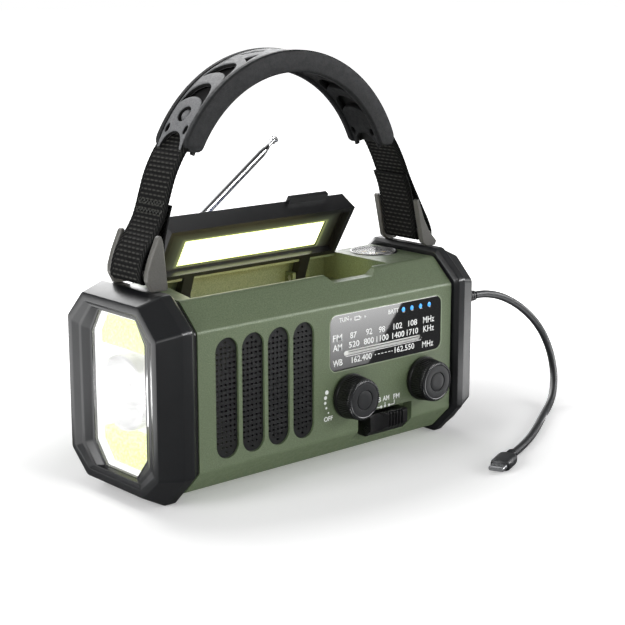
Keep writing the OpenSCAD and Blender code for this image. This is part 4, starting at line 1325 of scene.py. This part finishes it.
def stations(web, step):
    """Even stations along the webbing's middle line: (distance, point, normal)."""
    path = spline([(x, 0, z) for x, z in web], 24)
    dist = [0.0]
    for a, b in zip(path, path[1:]):
        dist.append(dist[-1] + (b - a).length)
    out, j = [], 0
    count = round(dist[-1] / step)
    for k in range(count + 1):
        s = dist[-1] * k / count
        while j < len(path) - 2 and dist[j + 1] < s:
            j += 1
        t = (s - dist[j]) / max(1e-9, dist[j + 1] - dist[j])
        p = path[j].lerp(path[j + 1], t)
        d = (path[min(j + 2, len(path) - 1)] - path[max(j - 1, 0)]).normalized()
        out.append((s, p, Vector((-d.z, 0, d.x))))
    return out


def strap(name, node, web):
    """Woven strap as one closed ribbon with its ribs in the mesh. Returns it with its middle line."""
    ys = [-WEB_W / 2 + WEB_W * k / ACROSS for k in range(ACROSS + 1)]
    rings, lift = [], []
    line = stations(web, STEP)
    for s, p, n in line:
        wander = 0.12 * math.sin(2 * math.pi * s / RIB)
        ring = []
        for side, shift, row in ((1, 0, ys), (-1, 0.4, ys[::-1])):
            for y in row:
                h = weave(s + shift, y)
                edge = WEB_W / 2 - abs(y)
                half = (WEB_T / 2 - 0.22) * min(1.0, (edge + 0.25) / 0.7) ** 0.5 + h
                q = p + n * (side * half)
                out = wander if edge < 0.3 else 0.0
                ring.append((q.x, y + math.copysign(out, y), q.z))
                lift.append(min(1.0, h / RELIEF))
        rings.append(ring)
    ob = skin(name, rings, webbing_mat, smooth=180)
    # lift also sets the webbing's painted highlight on the rib tops and painted shade between them
    level = ob.data.attributes.new("lift", "FLOAT", "POINT")
    for i, v in enumerate(lift):
        level.data[i].value = v
    return declare(ob, None, node, "webbing"), line


def stitching(name, line, z_mid):
    """Two zigzag rows of thread across both faces of the webbing, near height z_mid on its first half."""
    run = [(p, n) for s, p, n in line if s < line[-1][0] / 2]
    near = min(range(len(run)), key=lambda i: abs(run[i][0].z - z_mid))
    parts = []
    for side in (1, -1):
        for row in (-7, 7):
            points = []
            for k in range(17):
                i = near + row + (3 if k % 2 else -3)
                p, n = run[max(0, min(len(run) - 1, i))]
                q = p + n * side * (WEB_T / 2 + 0.12)
                points.append((q.x, -10.4 + 20.8 * k / 16, q.z))
            parts.append(sweep("thread", points, 0.3, thread_mat, None, 8, smooth=60))
    join(name, parts, "handle", slot="webbing")


left_strap, left_line = strap("webbing_left", "strap_left", LEFT_WEB)
right_strap, right_line = strap("webbing_right", "strap_right", RIGHT_WEB)
stitching("stitches_left", left_line, 140.6)
stitching("stitches_right", right_line, 140.6)
for piece in (left_strap, right_strap):
    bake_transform(piece)

# ------------------------------------------------------------------ grip

GRIP_C = Vector((-3.5, 0, 136.6))
GRIP_R = 75.0
MID_U = 3.4
PAD_REACH, CORE_REACH = 85.6, 84.0
STUD_U = 67.0
LEFT_END, RIGHT_END = -65.0, 70.5
RAIL_LENGTH, RAIL_STEPS = 135.5, 100


def rubber(name, low, high, smooth_low, smooth_high, scale, **inputs):
    """Moulded rubber: coarse grain between two greys."""
    m = Mat(name, srgb(high), 0.6, **inputs)
    grain = m.noise(scale, 4, 0.7)
    m.color(m.mix(m.span(grain, 0, 1, 0.3, 0.7), srgb(low), srgb(high)))
    m.roughness(m.noise(500, 3), smooth_low, smooth_high)
    m.bump(grain, 0.7, 0.00012)
    return m.m


# near-black core, also used as painted shade on the walls of the pad's openings
core_and_shade_mat = plastic("grip_core", srgb("070708"), 0.8, 900, 0.0001, 0.2)
side_mat = rubber("grip_rubber", "101112", "1f2022", 0.52, 0.72, 1500, Specular_IOR_Level=0.25)
pad_mat = rubber("grip_pad", "4c4d4f", "6e6f71", 0.45, 0.65, 1300)


def arch(q, angle, y):
    """The point at radius q and angle on the grip's arch, y across it."""
    return GRIP_C.x + q * math.sin(angle), y, GRIP_C.z + q * math.cos(angle)


def on_grip(r):
    """Places a flat part on the arch: u along it from the top of the arch, v across, w inwards from r."""
    return lambda u, v, w: arch(r - w, u / GRIP_R, v)


def mirrored(pts):
    """Outline reflected about the middle of the grip."""
    return [(2 * MID_U - u, v) for u, v in pts][::-1]


def bezier(p0, p1, p2, n=10):
    """Points of a quadratic curve, its last one left out."""
    out = []
    for k in range(n):
        t = k / n
        out.append(tuple((1 - t) ** 2 * a + 2 * t * (1 - t) * b + t * t * c for a, b, c in zip(p0, p1, p2)))
    return out


def crescent(top, horn, inner, w):
    """Crescent: outer edge bulging to top, horns at (horn, +-w), inner edge back at inner."""
    outer = bezier((horn, -w), (top - 1.0, -w), (top, 0), 9) + bezier((top, 0), (top - 1.0, w), (horn, w), 9)
    back = (bezier((horn, w), (inner - 0.5, w * 0.82), (inner, 0), 9)
            + bezier((inner, 0), (inner - 0.5, -w * 0.82), (horn, -w), 9))
    return outer + back[1:]


def cutouts(boss):
    """Openings of a pad on both sides of its middle; boss adds the ones round the studs."""
    half = [crescent(-46.9, -62.0, -56.6, 8.6), crescent(-28.6, -43.0, -38.4, 8.2),
            circle(-75.4, 7.1, 2.5, 1.35), circle(-75.4, -7.1, 2.5, 1.35),
            [(-22.7, -1.8), (-26.4, -7.3), (-16.5, -4.9)], [(-30.4, 8.6), (-26.4, 7.0), (-22.9, 8.4)],
            [(-19.4, 7.0), (-18.2, 5.2), (-8.8, 0.2), (-7.2, 1.2), (-9.6, 3.2)]]
    if boss:
        half.append(circle(-STUD_U, 0, 4.4, 3.9))
    return half + [mirrored(o) for o in half]


def pad(name, r, thick, boss, mat):
    """Openwork pad of the arch, with a mouth at each end that the webbing runs out of."""
    v = 9.35
    mouth = (bezier((-88, -8.2), (-77.2, -7.6), (-76.6, 0), 8)
             + bezier((-76.6, 0), (-77.2, 7.6), (-88, 8.2), 8) + [(-88, 8.2)])
    edge = [(-PAD_REACH, -v)] + [p for p in mouth if p[0] > -PAD_REACH - 0.9] + [(-PAD_REACH, v)]
    outline = edge[::-1] + mirrored(edge)[::-1]
    ob = plate(name, [outline] + cutouts(boss), thick, mat, on_grip(r), edge=0.4, every=2.0, smooth=50)
    # the walls of the openings take the near-black core material: painted shade in the openings
    ob.data.materials.append(core_and_shade_mat)
    for f in ob.data.polygons:
        away = (Vector((f.center.x, 0, f.center.z)) / MM - GRIP_C).normalized()
        if abs(f.normal.dot(away)) < 0.35:
            f.material_index = 1
    return ob


def rail(side):
    """Side wall of the arch: a rounded section swept along it, thinner towards its rounded ends."""
    rings = []
    for k in range(RAIL_STEPS + 1):
        angle = math.radians(LEFT_END + (RIGHT_END - LEFT_END) * k / RAIL_STEPS)
        t = min(k, RAIL_STEPS - k) / RAIL_STEPS * RAIL_LENGTH
        end = max(0.12, math.sqrt(max(0.0, 1 - (1 - min(1.0, t / 4.0)) ** 2)))
        mid, tall = 69.9 + 1.6 * (1 - end), 5.5 * end
        section = rounded([(mid - tall, 9.7), (mid - tall, 12.2), (mid - tall * 0.82, 13.0),
                           (mid + tall * 0.86, 13.0), (mid + tall, 12.3), (mid + tall, 9.7)],
                          0.3 * end + 0.02, 2)
        rings.append([arch(q, angle, side * v) for q, v in section])
    return skin("rail", rings, side_mat, smooth=35)


def stud(u):
    """Domed stud that stands in the pad's round opening at u."""
    place = on_grip(74.3)
    turns = [2 * math.pi * k / 32 for k in range(32)]
    rings = [[place(u + q * 1.05 * math.cos(t), q * math.sin(t), w) for t in turns]
             for q, w in ((1.6, -0.1), (2.6, 0.25), (3.1, 0.9), (3.2, 2.6))]
    return skin("stud", rings, pad_mat, smooth=50)


core = plate("core", [[(-CORE_REACH, -9.8), (2 * MID_U + CORE_REACH, -9.8), (2 * MID_U + CORE_REACH, 9.8),
                       (-CORE_REACH, 9.8)]], 2.0, core_and_shade_mat, on_grip(71.3), every=2.0)
pads = [pad("pad_top", 75.1, 2.5, True, pad_mat), pad("pad_under", 68.0, 2.4, False, side_mat)]
join("grip_moulding", pads + [rail(1), rail(-1), stud(-STUD_U), stud(2 * MID_U + STUD_U), core], "handle",
     "grip", "grip")

tuple(c * MM for c in ROUTE[0])
[tuple(c * MM for c in p) for p in route]
